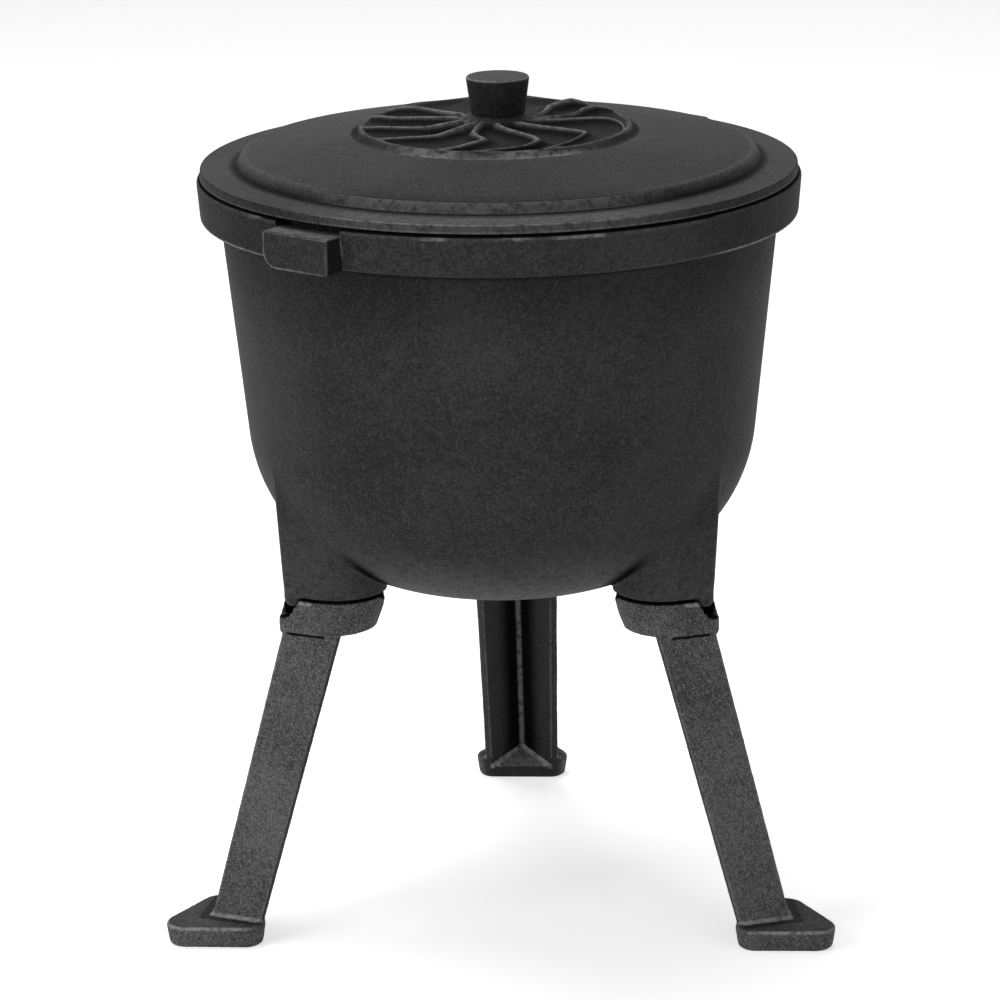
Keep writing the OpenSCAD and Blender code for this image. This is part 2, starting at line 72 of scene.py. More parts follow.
def smoothByAngle(obj, degrees):
    makeActive(obj)
    bpy.ops.object.shade_smooth_by_angle(angle=math.radians(degrees))


def drawOutline(name, points, closed):
    # a plane merged into one point, put at the start and extruded from point to point
    deselectAll()
    bpy.ops.mesh.primitive_plane_add(size=0.01)
    obj = bpy.context.object
    obj.name = name
    bpy.ops.object.mode_set(mode="EDIT")
    bpy.ops.mesh.select_all(action="SELECT")
    bpy.ops.mesh.merge(type="CENTER")
    bpy.ops.transform.translate(value=points[0])
    path = list(points) + [points[0]] if closed else list(points)
    for here, there in zip(path, path[1:]):
        step = [b - a for a, b in zip(here, there)]
        bpy.ops.mesh.extrude_region_move(TRANSFORM_OT_translate={"value": step})
    if closed:
        bpy.ops.mesh.select_all(action="SELECT")
        bpy.ops.mesh.remove_doubles(threshold=0.000001)
        bpy.ops.mesh.edge_face_add()
    bpy.ops.object.mode_set(mode="OBJECT")
    return obj


def lathe(name, profile, steps):
    # profile is a list of (radius, height), spun round the upright axis
    obj = drawOutline(name, [(r, 0, z) for r, z in profile], False)
    makeActive(obj)
    bpy.ops.object.mode_set(mode="EDIT")
    bpy.ops.mesh.select_all(action="SELECT")
    bpy.ops.mesh.spin(
        steps=steps, angle=2 * math.pi, center=(0, 0, 0), axis=(0, 0, 1), use_auto_merge=True
    )
    bpy.ops.object.mode_set(mode="OBJECT")
    tidyMesh(obj)
    return obj


def prism(name, lower, upper, lowZ, highZ):
    # a filled outline extruded upward, its top then drawn onto a second outline
    obj = drawOutline(name, [(x, y, lowZ) for x, y in lower], True)
    makeActive(obj)
    bpy.ops.object.mode_set(mode="EDIT")
    bpy.ops.mesh.select_all(action="SELECT")
    bpy.ops.mesh.extrude_region_move(
        TRANSFORM_OT_translate={"value": (0, 0, highZ - lowZ)}
    )
    bpy.ops.object.mode_set(mode="OBJECT")
    middle = (lowZ + highZ) / 2
    for vertex in obj.data.vertices:
        if vertex.co.z > middle:
            nearest = min(range(len(lower)), key=lambda i: math.dist(lower[i], vertex.co.xy))
            vertex.co = (*upper[nearest], highZ)
    tidyMesh(obj)
    return obj


def slab(name, x0, x1, y0, y1, lowZ, highZ):
    corners = [(x0, y0), (x1, y0), (x1, y1), (x0, y1)]
    return prism(name, corners, corners, lowZ, highZ)


def applyModifier(obj, kind, **values):
    makeActive(obj)
    modifier = obj.modifiers.new(kind.lower(), kind)
    for key, value in values.items():
        setattr(modifier, key, value)
    bpy.ops.object.modifier_apply(modifier=modifier.name)


def cutWith(obj, cutter):
    applyModifier(obj, "BOOLEAN", operation="DIFFERENCE", solver="EXACT", object=cutter)
    bpy.data.objects.remove(cutter)


def joinAll(objects):
    deselectAll()
    for obj in objects:
        obj.select_set(True)
    bpy.context.view_layer.objects.active = objects[0]
    bpy.ops.object.join()
    return bpy.context.object


def arcPoints(centre, radius, start, end, steps):
    points = []
    for i in range(steps + 1):
        a = math.radians(start + (end - start) * i / steps)
        points.append((centre[0] + radius * math.cos(a), centre[1] + radius * math.sin(a)))
    return points


def roundCorner(a, p, b, radius, steps):
    # arc of this radius that rounds the corner p between a and b
    a, p, b = Vector(a), Vector(p), Vector(b)
    u = (a - p).normalized()
    v = (b - p).normalized()
    half = math.acos(max(-1, min(1, u.dot(v)))) / 2
    centre = p + (u + v).normalized() * radius / math.sin(half)
    s = p + u * radius / math.tan(half) - centre
    e = p + v * radius / math.tan(half) - centre
    start = math.degrees(math.atan2(s.y, s.x))
    turn = math.degrees(math.atan2(s.x * e.y - s.y * e.x, s.dot(e)))
    return arcPoints(centre, radius, start, start + turn, steps)


def roundedOutline(corners, radii, steps):
    points = []
    count = len(corners)
    for i in range(count):
        points += roundCorner(
            corners[i - 1], corners[i], corners[(i + 1) % count], radii[i], steps
        )
    return points


def placed(obj, offset=(0, 0, 0), turn=(0, 0, 0)):
    # moves and turns a piece, and keeps its object at the origin
    makeActive(obj)
    obj.location = offset
    obj.rotation_euler = [math.radians(angle) for angle in turn]
    bpy.ops.object.transform_apply(location=True, rotation=True, scale=True)
    return obj


def smoothStep(t):
    t = max(0.0, min(1.0, t))
    return t * t * (3 - 2 * t)


# Materials

enamelLook = {
    "dark": (0.018, 0.018, 0.0187, 1),
    "light": (0.044, 0.044, 0.0449, 1),
    "edge": (0.22, 0.217, 0.213, 1),
    "gloss": 0.095, "roughness": 0.68, "grain": 800, "grainBump": 0.8,
    "brightSpot": (-0.0903, 0.1116, 0.3665), "crestShade": 0.92,
}
legLook = {
    "dark": (0.034, 0.034, 0.0348, 1),
    "light": (0.135, 0.135, 0.1368, 1),
    "edge": (0.36, 0.356, 0.350, 1),
    "gloss": 0.15, "roughness": 0.62, "grain": 1250, "grainBump": 1.2, "innerPaintedShade": 0.85,
    "crestShade": 0.75,
}
steelLook = {
    "dark": (0.30, 0.30, 0.31, 1),
    "light": (0.55, 0.55, 0.56, 1),
    "roughness": 0.38,
    "grain": 900,
}


def addNode(tree, kind, **values):
    node = tree.nodes.new(kind)
    for key, value in values.items():
        if hasattr(node, key):
            setattr(node, key, value)
        else:
            node.inputs[key].default_value = value
    return node


def noiseNode(tree, coords, scale, detail, rough=0.5):
    node = addNode(tree, "ShaderNodeTexNoise", Scale=scale, Detail=detail, Roughness=rough)
    tree.links.new(coords, node.inputs["Vector"])
    return node.outputs["Fac"]


def rampNode(tree, fac, low, high, lowColour, highColour):
    node = addNode(tree, "ShaderNodeValToRGB")
    node.color_ramp.elements[0].position = low
    node.color_ramp.elements[1].position = high
    node.color_ramp.elements[0].color = lowColour
    node.color_ramp.elements[1].color = highColour
    tree.links.new(fac, node.inputs["Fac"])
    return node.outputs["Color"]


def maskNode(tree, fac, low, high):
    return rampNode(tree, fac, low, high, (0, 0, 0, 1), (1, 1, 1, 1))


def mathNode(tree, operation, first, second):
    node = addNode(tree, "ShaderNodeMath", operation=operation)
    for socket, value in zip(node.inputs, (first, second)):
        if isinstance(value, (int, float)):
            socket.default_value = value
        else:
            tree.links.new(value, socket)
    return node.outputs[0]


def mixColour(tree, fac, first, second):
    node = addNode(tree, "ShaderNodeMix", data_type="RGBA")
    for name, value in (("Factor", fac), ("A", first), ("B", second)):
        socket = [s for s in node.inputs if s.name == name and s.enabled][0]
        if isinstance(value, (int, float, tuple)):
            socket.default_value = value
        else:
            tree.links.new(value, socket)
    return [s for s in node.outputs if s.enabled][0]


def edgeMask(tree, radius):
    # bright where the rounded normal leaves the true one: sharp outer edges
    bevel = addNode(tree, "ShaderNodeBevel", samples=6, Radius=radius)
    geometry = addNode(tree, "ShaderNodeNewGeometry")
    dot = addNode(tree, "ShaderNodeVectorMath", operation="DOT_PRODUCT")
    tree.links.new(bevel.outputs["Normal"], dot.inputs[0])
    tree.links.new(geometry.outputs["Normal"], dot.inputs[1])
    return mathNode(tree, "SUBTRACT", 1.0, dot.outputs["Value"])


def castMaterial(name, look, speckle):
    material = bpy.data.materials.new(name)
    material.use_nodes = True
    tree = material.node_tree
    shader = tree.nodes["Principled BSDF"]
    shader.inputs["Specular IOR Level"].default_value = look["gloss"]
    coords = addNode(tree, "ShaderNodeTexCoord").outputs["Object"]
    cloud = noiseNode(tree, coords, 14, 4, 0.6)
    grain = noiseNode(tree, coords, look["grain"], 2, 0.6)
    coarse = noiseNode(tree, coords, look["grain"] * 0.33, 3, 0.6)
    fine = mathNode(tree, "ADD", mathNode(tree, "MULTIPLY", coarse, 0.25),
                    mathNode(tree, "MULTIPLY", grain, 0.45))
    tone = mathNode(tree, "ADD", mathNode(tree, "MULTIPLY", cloud, 0.30), fine)
    colour = rampNode(tree, tone, 0.42, 0.57, look["dark"], look["light"])
    specks = maskNode(tree, grain, 0.57, 0.70)
    speckFac = mathNode(tree, "MULTIPLY", specks, speckle)
    colour = mixColour(tree, speckFac, colour, look["edge"])
    tree.links.new(colour, shader.inputs["Base Color"])
    rough = mathNode(tree, "ADD", look["roughness"] - 0.08,
                     mathNode(tree, "MULTIPLY", coarse, 0.16))
    tree.links.new(rough, shader.inputs["Roughness"])
    height = mathNode(tree, "ADD", mathNode(tree, "MULTIPLY", grain, 0.6),
                      mathNode(tree, "MULTIPLY", coarse, 0.8))
    bump = addNode(tree, "ShaderNodeBump", Strength=look["grainBump"], Distance=0.0006)
    tree.links.new(height, bump.inputs["Height"])
    tree.links.new(bump.outputs["Normal"], shader.inputs["Normal"])
    return material, tree, shader, coords, colour


def attributeValue(tree, name):
    return addNode(tree, "ShaderNodeAttribute", attribute_name=name).outputs["Fac"]


def facingOutward(tree, coords):
    # 1 on faces that look away from the pot's axis, 0 on the inner sides of the legs, which get painted shade
    flat = addNode(tree, "ShaderNodeVectorMath", operation="MULTIPLY")
    flat.inputs[1].default_value = (1, 1, 0)
    tree.links.new(coords, flat.inputs[0])
    unit = addNode(tree, "ShaderNodeVectorMath", operation="NORMALIZE")
    tree.links.new(flat.outputs["Vector"], unit.inputs[0])
    dot = addNode(tree, "ShaderNodeVectorMath", operation="DOT_PRODUCT")
    tree.links.new(unit.outputs["Vector"], dot.inputs[0])
    tree.links.new(addNode(tree, "ShaderNodeNewGeometry").outputs["Normal"], dot.inputs[1])
    half = mathNode(tree, "MULTIPLY", dot.outputs["Value"], 0.5)
    return maskNode(tree, mathNode(tree, "ADD", half, 0.5), 0.11, 0.28)


def wornMaterial(name, look, speckle, edgeR, edgeLow, edgeHigh, patchScale, share):
    # cast finish: painted shade darkens and dulls it, the crest attribute brightens it with painted
    # highlights, painted light and some wear, and outer edges are worn bright in patches
    material, tree, shader, coords, colour = castMaterial(name, look, speckle)
    # painted shade on the legs' inner faces, which lie in the pot's shadow
    if "innerPaintedShade" in look:
        fac = mathNode(tree, "MULTIPLY", mathNode(tree, "SUBTRACT", 1.0, facingOutward(tree, coords)),
                       look["innerPaintedShade"])
        colour = mixColour(tree, fac, colour, (0.009, 0.009, 0.0092, 1))
    # painted shade: darkens the colour and takes away the gloss in gaps, creases and shaded faces
    hollow = attributeValue(tree, "hollow")
    unshaded = mathNode(tree, "SUBTRACT", 1.0, hollow)
    colour = mixColour(tree, hollow, colour, (0.003, 0.003, 0.0031, 1))
    gloss = mathNode(tree, "MULTIPLY", mathNode(tree, "MAXIMUM", unshaded, 0.08), look["gloss"])
    tree.links.new(gloss, shader.inputs["Specular IOR Level"])
    patch = maskNode(tree, noiseNode(tree, coords, 300, 3, 0.6), 0.28, 0.56)
    # crest: painted highlights and painted light, with rubbed wear on some edges
    crest = mathNode(tree, "MULTIPLY", attributeValue(tree, "crest"), look["crestShade"])
    colour = mixColour(tree, mathNode(tree, "MULTIPLY", crest, patch), colour, look["edge"])
    broken = maskNode(tree, noiseNode(tree, coords, patchScale, 4, 0.65), 0.44, 0.58)
    worn = maskNode(tree, edgeMask(tree, edgeR), edgeLow, edgeHigh)
    worn = mathNode(tree, "MULTIPLY", worn, unshaded)
    fac = mathNode(tree, "MULTIPLY", mathNode(tree, "MULTIPLY", worn, broken), share)
    if "brightSpot" in look:
        # small bright spot painted on the lid's edge
        spot = addNode(tree, "ShaderNodeVectorMath", operation="DISTANCE")
        spot.inputs[1].default_value = look["brightSpot"]
        tree.links.new(coords, spot.inputs[0])
        near = mathNode(tree, "SUBTRACT", 1.0, maskNode(tree, spot.outputs["Value"], 0.0025, 0.0050))
        fac = mathNode(tree, "MAXIMUM", fac, near)
    tree.links.new(mixColour(tree, fac, colour, look["edge"]), shader.inputs["Base Color"])
    return material


def steelMaterial():
    material = bpy.data.materials.new("platedSteel")
    material.use_nodes = True
    tree = material.node_tree
    shader = tree.nodes["Principled BSDF"]
    shader.inputs["Metallic"].default_value = 1.0
    coords = addNode(tree, "ShaderNodeTexCoord").outputs["Object"]
    cloud = noiseNode(tree, coords, 120, 4, 0.6)
    grain = noiseNode(tree, coords, steelLook["grain"], 2)
    colour = rampNode(tree, cloud, 0.35, 0.65, steelLook["dark"], steelLook["light"])
    tree.links.new(colour, shader.inputs["Base Color"])
    rough = mathNode(tree, "ADD", steelLook["roughness"] - 0.1,
                     mathNode(tree, "MULTIPLY", grain, 0.2))
    tree.links.new(rough, shader.inputs["Roughness"])
    bump = addNode(tree, "ShaderNodeBump", Strength=0.12, Distance=0.0002)
    tree.links.new(grain, bump.inputs["Height"])
    tree.links.new(bump.outputs["Normal"], shader.inputs["Normal"])
    return material


blackEnamel = wornMaterial("blackEnamel", enamelLook, 0.08, 0.0014, 0.018, 0.12, 170, 0.6)
roughIron = wornMaterial("roughCastIron", legLook, 0.45, 0.0015, 0.03, 0.18, 300, 0.6)
platedSteel = steelMaterial()


def setAttribute(obj, name, values):
    layer = obj.data.attributes.new(name, "FLOAT", "POINT")
    for item, value in zip(layer.data, values):
        item.value = value


def shadeBy(obj, rule):
    # rule gives how much painted shade and how much crest brightening each point gets; the crest brightening
    # is painted highlight and painted light, with wear on some edges
    shades = [rule(vertex.co) for vertex in obj.data.vertices]
    setAttribute(obj, "hollow", [max(0.0, min(1.0, hollow)) for hollow, crest in shades])
    setAttribute(obj, "crest", [max(0.0, min(1.0, crest)) for hollow, crest in shades])


def finishPiece(obj, material, body, slot, *replacedNodes):
    obj.data.materials.clear()
    obj.data.materials.append(material)
    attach(obj, body)
    if replacedNodes:
        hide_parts(*replacedNodes)


print("stage: materials made")

# Pot bowl: one turned shell with the rim band, then the lugs and their notches

potForm = {
    "rimR": 0.145, "rimZ": 0.3625, "rimH": 0.0185, "rimDraft": 0.0016,
    "rimT": 0.0065, "ledgeD": 0.013, "rimRound": 0.0018,
    "wallStep": 0.0093, "wallT": 0.0045, "wallLean": 5.8,
    "bellyZ": 0.1566, "knuckleR": 0.082, "dishR": 0.211,
    "bandLow": 0.0010, "steps": 240,
}
lugForm = {
    "azimuth": 55.7, "reach": 0.0082, "width": 0.0374, "flare": 0.0006,
    "drop": 0.0032, "deeper": 0.0018, "leftRound": 0.0075, "rightRound": 0.0015, "edge": 0.0006,
}


def potLines():
    f = potForm
    f["bandZ"] = f["rimZ"] - f["rimH"]
    f["edgeZ"] = f["bandZ"] - f["bandLow"]
    f["bandR"] = f["rimR"] - f["rimDraft"]
    f["wallR"] = f["bandR"] - f["wallStep"]
    f["lean"] = math.tan(math.radians(f["wallLean"]))
    stretch = math.sqrt(1 + f["lean"] ** 2)
    w0 = f["wallR"] - f["lean"] * f["bandZ"] - f["knuckleR"] * stretch
    dishZ = f["bellyZ"] + f["dishR"]
    a = 1 + f["lean"] ** 2
    b = 2 * (w0 * f["lean"] - dishZ)
    c = w0 ** 2 + dishZ ** 2 - (f["dishR"] - f["knuckleR"]) ** 2
    kneeZ = (-b - math.sqrt(b * b - 4 * a * c)) / (2 * a)
    f["knee"] = (w0 + f["lean"] * kneeZ, kneeZ)
    f["dishZ"] = dishZ
    f["dishEnd"] = math.degrees(math.atan2(f["knee"][0], dishZ - kneeZ))
    f["stretch"] = stretch


def bellyProfile(inset, steps):
    f = potForm
    dish = arcPoints((0, f["dishZ"]), f["dishR"] - inset, -90, -90 + f["dishEnd"], steps)
    knuckle = arcPoints(
        f["knee"], f["knuckleR"] - inset, -90 + f["dishEnd"], -f["wallLean"], steps
    )
    return dish + knuckle[1:]


def wallRadius(z, inset):
    f = potForm
    return f["wallR"] - f["lean"] * (f["bandZ"] - z) - inset * f["stretch"]


def makeBowl():
    f = potForm
    collarR = f["rimR"] - f["rimT"]
    ledgeZ = f["rimZ"] - f["ledgeD"]
    outside = bellyProfile(0, 30)
    lastZ = outside[-1][1]
    heights = [lastZ + (f["edgeZ"] - 0.004 - lastZ) * i / 24 for i in range(1, 25)]
    wall = [(wallRadius(z, 0), z) for z in heights + [f["edgeZ"] - 0.0025]]
    root = roundCorner(
        (wallRadius(f["edgeZ"] - 0.02, 0), f["edgeZ"] - 0.02), (wallRadius(f["edgeZ"], 0), f["edgeZ"]),
        (f["bandR"], f["edgeZ"]), 0.0014, 4
    )
    root.append((f["bandR"] - 0.0035, f["edgeZ"]))
    lowerEdge = roundCorner(
        (f["wallR"], f["edgeZ"]), (f["bandR"], f["edgeZ"]), (f["rimR"], f["rimZ"]),
        f["rimRound"], 6
    )
    lowerEdge += [(f["bandR"] + 0.0003, f["edgeZ"] + 0.0032), (f["rimR"] - 0.0002, f["rimZ"] - 0.0026)]
    upperEdge = roundCorner(
        (f["bandR"], f["bandZ"]), (f["rimR"], f["rimZ"]), (collarR, f["rimZ"]), 0.0018, 6
    )
    innerEdge = roundCorner(
        (f["rimR"], f["rimZ"]), (collarR, f["rimZ"]), (collarR, ledgeZ), 0.0009, 4
    )
    ledge = roundCorner(
        (collarR, f["rimZ"]), (collarR, ledgeZ), (wallRadius(ledgeZ, f["wallT"]), ledgeZ),
        0.0012, 3
    )
    lip = roundCorner(
        (collarR, ledgeZ), (wallRadius(ledgeZ, f["wallT"]), ledgeZ),
        (wallRadius(ledgeZ - 0.03, f["wallT"]), ledgeZ - 0.03), 0.0018, 3
    )
    inside = list(reversed(bellyProfile(f["wallT"], 24)))
    profile = outside + wall + root + lowerEdge + upperEdge + innerEdge + ledge + lip + inside
    profile[0] = (0, profile[0][1])
    profile[-1] = (0, profile[-1][1])
    return lathe("potBowl", profile, f["steps"])


def bowlShade(point):
    # painted light and shade on the bowl: painted highlights on the band's lower edge, rubbed chips on its
    # top edge, painted shade in the gap, under and beside the band and by the bosses, painted light on the
    # lower belly
    f = potForm
    r = math.hypot(point.x, point.y)
    sideways = smoothStep((abs(point.x) / max(r, 0.001) - 0.66) / 0.14)
    low = math.hypot(r - f["bandR"] + 0.0004, point.z - f["edgeZ"] - 0.0004)
    high = math.hypot(r - f["rimR"], point.z - f["rimZ"])
    # painted highlight along the band's rounded lower edge, at the sides
    crest = sideways if low < 0.0012 else 0.0
    hollow = 0.0
    # painted shade in the gap under the lid; rubbed chips along the rim's front top edge
    if high < 0.0022 and r > f["rimR"] - 0.0025:
        if point.z > f["rimZ"] - 0.0007 + 0.0003 * sideways:
            hollow = 1.0
        else:
            crest = (0.95 if noise.noise(point * 70) > 0.08 else 0.15) * (1 - sideways)
    if hollow:
        crest = 0.0
    # painted shade at the root under the band
    elif r < f["wallR"] + 0.004 and f["edgeZ"] - 0.0026 < point.z < f["edgeZ"] + 0.0003:
        hollow = 0.35 + 0.3 * (1 - sideways)
    # painted shade on the wall below the band, darker towards it
    elif 0.300 < point.z < f["edgeZ"] and r > f["wallR"] - 0.01:
        hollow = 0.30 * smoothStep((point.z - 0.300) / 0.035)
    # painted light on the floor of each lug's notch, painted shade further in
    if abs(point.z - f["rimZ"] + lugForm["drop"]) < 0.0002 and r > f["rimR"] - f["rimT"] - 0.001:
        hollow, crest = (0.0, 0.5) if r > 0.142 else (0.35, 0.1)
    # painted shade on the band's left and right sides
    if r > f["bandR"] - 0.0002 and f["edgeZ"] + 0.0015 < point.z < f["rimZ"] - 0.0016:
        hollow = max(hollow, 0.30 * smoothStep((abs(point.x) / r - 0.50) / 0.3))
    # painted light on the lower belly, in place of light from the floor
    if point.z < 0.215 and r > f["wallT"]:
        crest = max(crest, 0.60 * (1 - smoothStep((point.z - 0.150) / 0.062)))
    # painted shade in the corners beside the bosses
    if point.z < 0.23 and r > 0.05:
        for azimuth in legNodes.values():
            a = math.radians(azimuth)
            x = point.x * math.cos(a) + point.y * math.sin(a) - bossForm["centreR"]
            y = point.y * math.cos(a) - point.x * math.sin(a)
            away = math.hypot(x, y) - bossForm["radius"] - (point.z - bossForm["faceZ"]) * 0.0524
            near = (1 - smoothStep((away - 0.0045) / 0.011)) * (1 - smoothStep((point.z - 0.190) / 0.045))
            hollow = max(hollow, near * smoothStep((0.016 - x) / 0.016))
        crest *= (1 - hollow) ** 3
    return hollow, crest


def lugCutter(azimuth):
    # box that lowers the collar behind a lug
    f = potForm
    half = (lugForm["width"] + lugForm["flare"]) / 2
    inner = f["rimR"] - f["rimT"] - 0.003
    low = f["rimZ"] - lugForm["drop"]
    cutter = slab("lugNotch", inner, f["rimR"] + 0.02, -half, half, low, f["rimZ"] + 0.004)
    return placed(cutter, turn=(0, 0, azimuth))


def makeLug(azimuth):
    f = potForm
    g = lugForm
    half = g["width"] / 2
    grow = (g["width"] + g["flare"]) / g["width"]
    height = f["rimH"] - g["drop"] + g["deeper"]
    lowZ = f["bandZ"] - g["deeper"]
    faceX = f["rimR"] + g["reach"]
    rootX = f["bandR"] - 0.004
    front = roundedOutline(
        [(-half, 0), (half, 0), (half, height), (-half, height)],
        [g["leftRound"], g["rightRound"], 0.001, 0.001], 6
    )
    rear = [(x * grow, y) for x, y in front]
    lug = prism("lugBlock", rear, front, 0, faceX - rootX)
    # the prism rises along its own Z, so it is stood on edge and turned outward
    placed(lug, turn=(90, 0, 90))
    placed(lug, offset=(rootX, 0, lowZ))
    applyModifier(lug, "BEVEL", width=g["edge"], segments=3, limit_method="ANGLE",
                  angle_limit=math.radians(50))
    # a ring of edges behind the face and inset large faces keep the rubbed edges narrow
    bpy.ops.object.mode_set(mode="EDIT")
    bpy.ops.mesh.select_all(action="SELECT")
    bpy.ops.mesh.bisect(plane_co=(faceX - 0.0013, 0, 0), plane_no=(1, 0, 0))
    bpy.ops.object.mode_set(mode="OBJECT")
    for polygon in lug.data.polygons:
        polygon.select = polygon.area > 0.00003
    bpy.ops.object.mode_set(mode="EDIT")
    bpy.ops.mesh.select_mode(type="FACE")
    bpy.ops.mesh.inset(thickness=0.0006, use_individual=True)
    bpy.ops.mesh.select_mode(type="VERT")
    bpy.ops.object.mode_set(mode="OBJECT")

    def lugShade(point):
        # how far inside the outline and behind the face a point is
        corner = g["leftRound"] if point.y < 0 else g["rightRound"]
        y = half - corner - abs(point.y)
        z = point.z - lowZ - corner
        inside = corner - math.hypot(min(0, y), min(0, z)) if min(y, z) < 0 else corner
        top = lowZ + height - point.z
        behind = faceX - point.x
        edge = max(min(inside, top), behind)
        # bright line along the edges, partly wear and partly painted highlight
        highlightAndWear = 0.0 if edge > 0.0007 else 1.0
        # rubbed chips on the top edge, painted light on the top face
        if top < 0.0007:
            chips = 1.0 if noise.noise(point * 90) > 0.0 else 0.2
            return 0.0, highlightAndWear * chips if highlightAndWear else 0.45
        if point.y > half - 0.002:
            highlightAndWear *= 0.3
        # painted shade on the lug's side faces
        flank = behind > 0.0010 and inside < 0.0009
        return (0.7 if flank else 0.0), highlightAndWear

    shadeBy(lug, lugShade)
    placed(lug, turn=(0, 0, azimuth))
    smoothByAngle(lug, 40)
    return lug


potLines()
bowl = makeBowl()
for side in (0, 180):
    cutWith(bowl, lugCutter(lugForm["azimuth"] + side))
smoothByAngle(bowl, 32)

# Belly bosses: teardrop plan with a fillet that runs out on the belly

bossForm = {
    "centreR": 0.090, "radius": 0.0234, "faceTurn": 38, "tipR": 0.005,
    "faceZ": 0.167, "draft": 3.0, "columns": 120,
    "tipFillet": 0.0085, "innerFillet": 0.0020, "bottomRound": 0.0010,
    "tabR": 0.0050, "tabH": 0.0055,
}


def teardrop(radius, steps, shift=0.0):
    g = bossForm
    turn = g["faceTurn"]
    tipX = (radius - g["tipR"]) / math.cos(math.radians(turn))
    sweep = int(steps * 0.8)
    points = arcPoints((0, 0), radius, turn, 360 - turn, sweep)
    points += arcPoints((tipX, 0), g["tipR"], -turn, turn, steps - sweep - 2)
    return [(x + shift, y) for x, y in points]


def bellyHeight(rho):
    f = potForm
    knee = f["knee"]
    split = f["dishR"] * math.sin(math.radians(f["dishEnd"]))
    if rho <= split:
        return f["dishZ"] - math.sqrt(f["dishR"] ** 2 - rho ** 2)
    wallStart = knee[0] + f["knuckleR"] * math.cos(math.radians(f["wallLean"]))
    if rho >= wallStart:
        return f["bandZ"] - (f["wallR"] - rho) / f["lean"]
    return knee[1] - math.sqrt(f["knuckleR"] ** 2 - (rho - knee[0]) ** 2)


def ontoBelly(point, sink):
    # nearest place on the belly's outer face, sunk a little into the wall
    f = potForm
    rho = math.hypot(point.x, point.y)
    d = Vector((rho - f["knee"][0], point.z - f["knee"][1]))
    angle = math.degrees(math.atan2(d.y, d.x))
    if angle > -f["wallLean"]:
        newRho, newZ = wallRadius(point.z, sink), point.z
    elif angle > -90 + f["dishEnd"]:
        d = d.normalized() * (f["knuckleR"] - sink)
        newRho, newZ = f["knee"][0] + d.x, f["knee"][1] + d.y
    else:
        d = Vector((rho, point.z - f["dishZ"])).normalized() * (f["dishR"] - sink)
        newRho, newZ = d.x, f["dishZ"] + d.y
    return Vector((point.x * newRho / rho, point.y * newRho / rho, newZ))


def bossColumn(index, outline, grown):
    # points of one upright line of the boss, from its foot to the belly
    g = bossForm
    height = 0.08
    low = Vector((outline[index][0], outline[index][1], g["faceZ"]))
    high = Vector((grown[index][0], grown[index][1], g["faceZ"] + height))
    step = 400
    meet = high
    for i in range(step + 1):
        p = low.lerp(high, i / step)
        rho = math.hypot(p.x + g["centreR"], p.y)
        if bellyHeight(rho) <= p.z:
            meet = p
            break
    rise = (high - low).normalized()
    count = len(outline)
    a = Vector(outline[index - 1])
    b = Vector(outline[(index + 1) % count])
    away = Vector((b.y - a.y, a.x - b.x, 0)).normalized()
    # wide fillet at the outer edge, nearly none on the round inner side
    fillet = g["innerFillet"] + (g["tipFillet"] - g["innerFillet"]) * smoothStep((away.x + 0.35) / 1.35)
    down = min(fillet, (meet.z - low.z) * 0.7)
    start = meet - rise * down
    world = meet + Vector((g["centreR"], 0, 0))
    rho = math.hypot(world.x, world.y)
    slope = (bellyHeight(rho + 0.0005) - bellyHeight(rho - 0.0005)) / 0.001
    radial = Vector((world.x, world.y, 0)).normalized()
    normal = (radial * slope - Vector((0, 0, 1))).normalized()
    tangent = away - normal * away.dot(normal)
    if tangent.length < 0.05:
        tangent = Vector((0, 0, 1)) - normal * normal.z
    tangent.normalize()
    end = ontoBelly(world + tangent * down * 1.15, 0.00012)
    end -= Vector((g["centreR"], 0, 0))
    points = [low.lerp(start, i / 6) for i in range(7)]
    for i in range(1, 9):
        t = i / 8
        points.append(start * (1 - t) ** 2 + meet * 2 * t * (1 - t) + end * t * t)
    return points


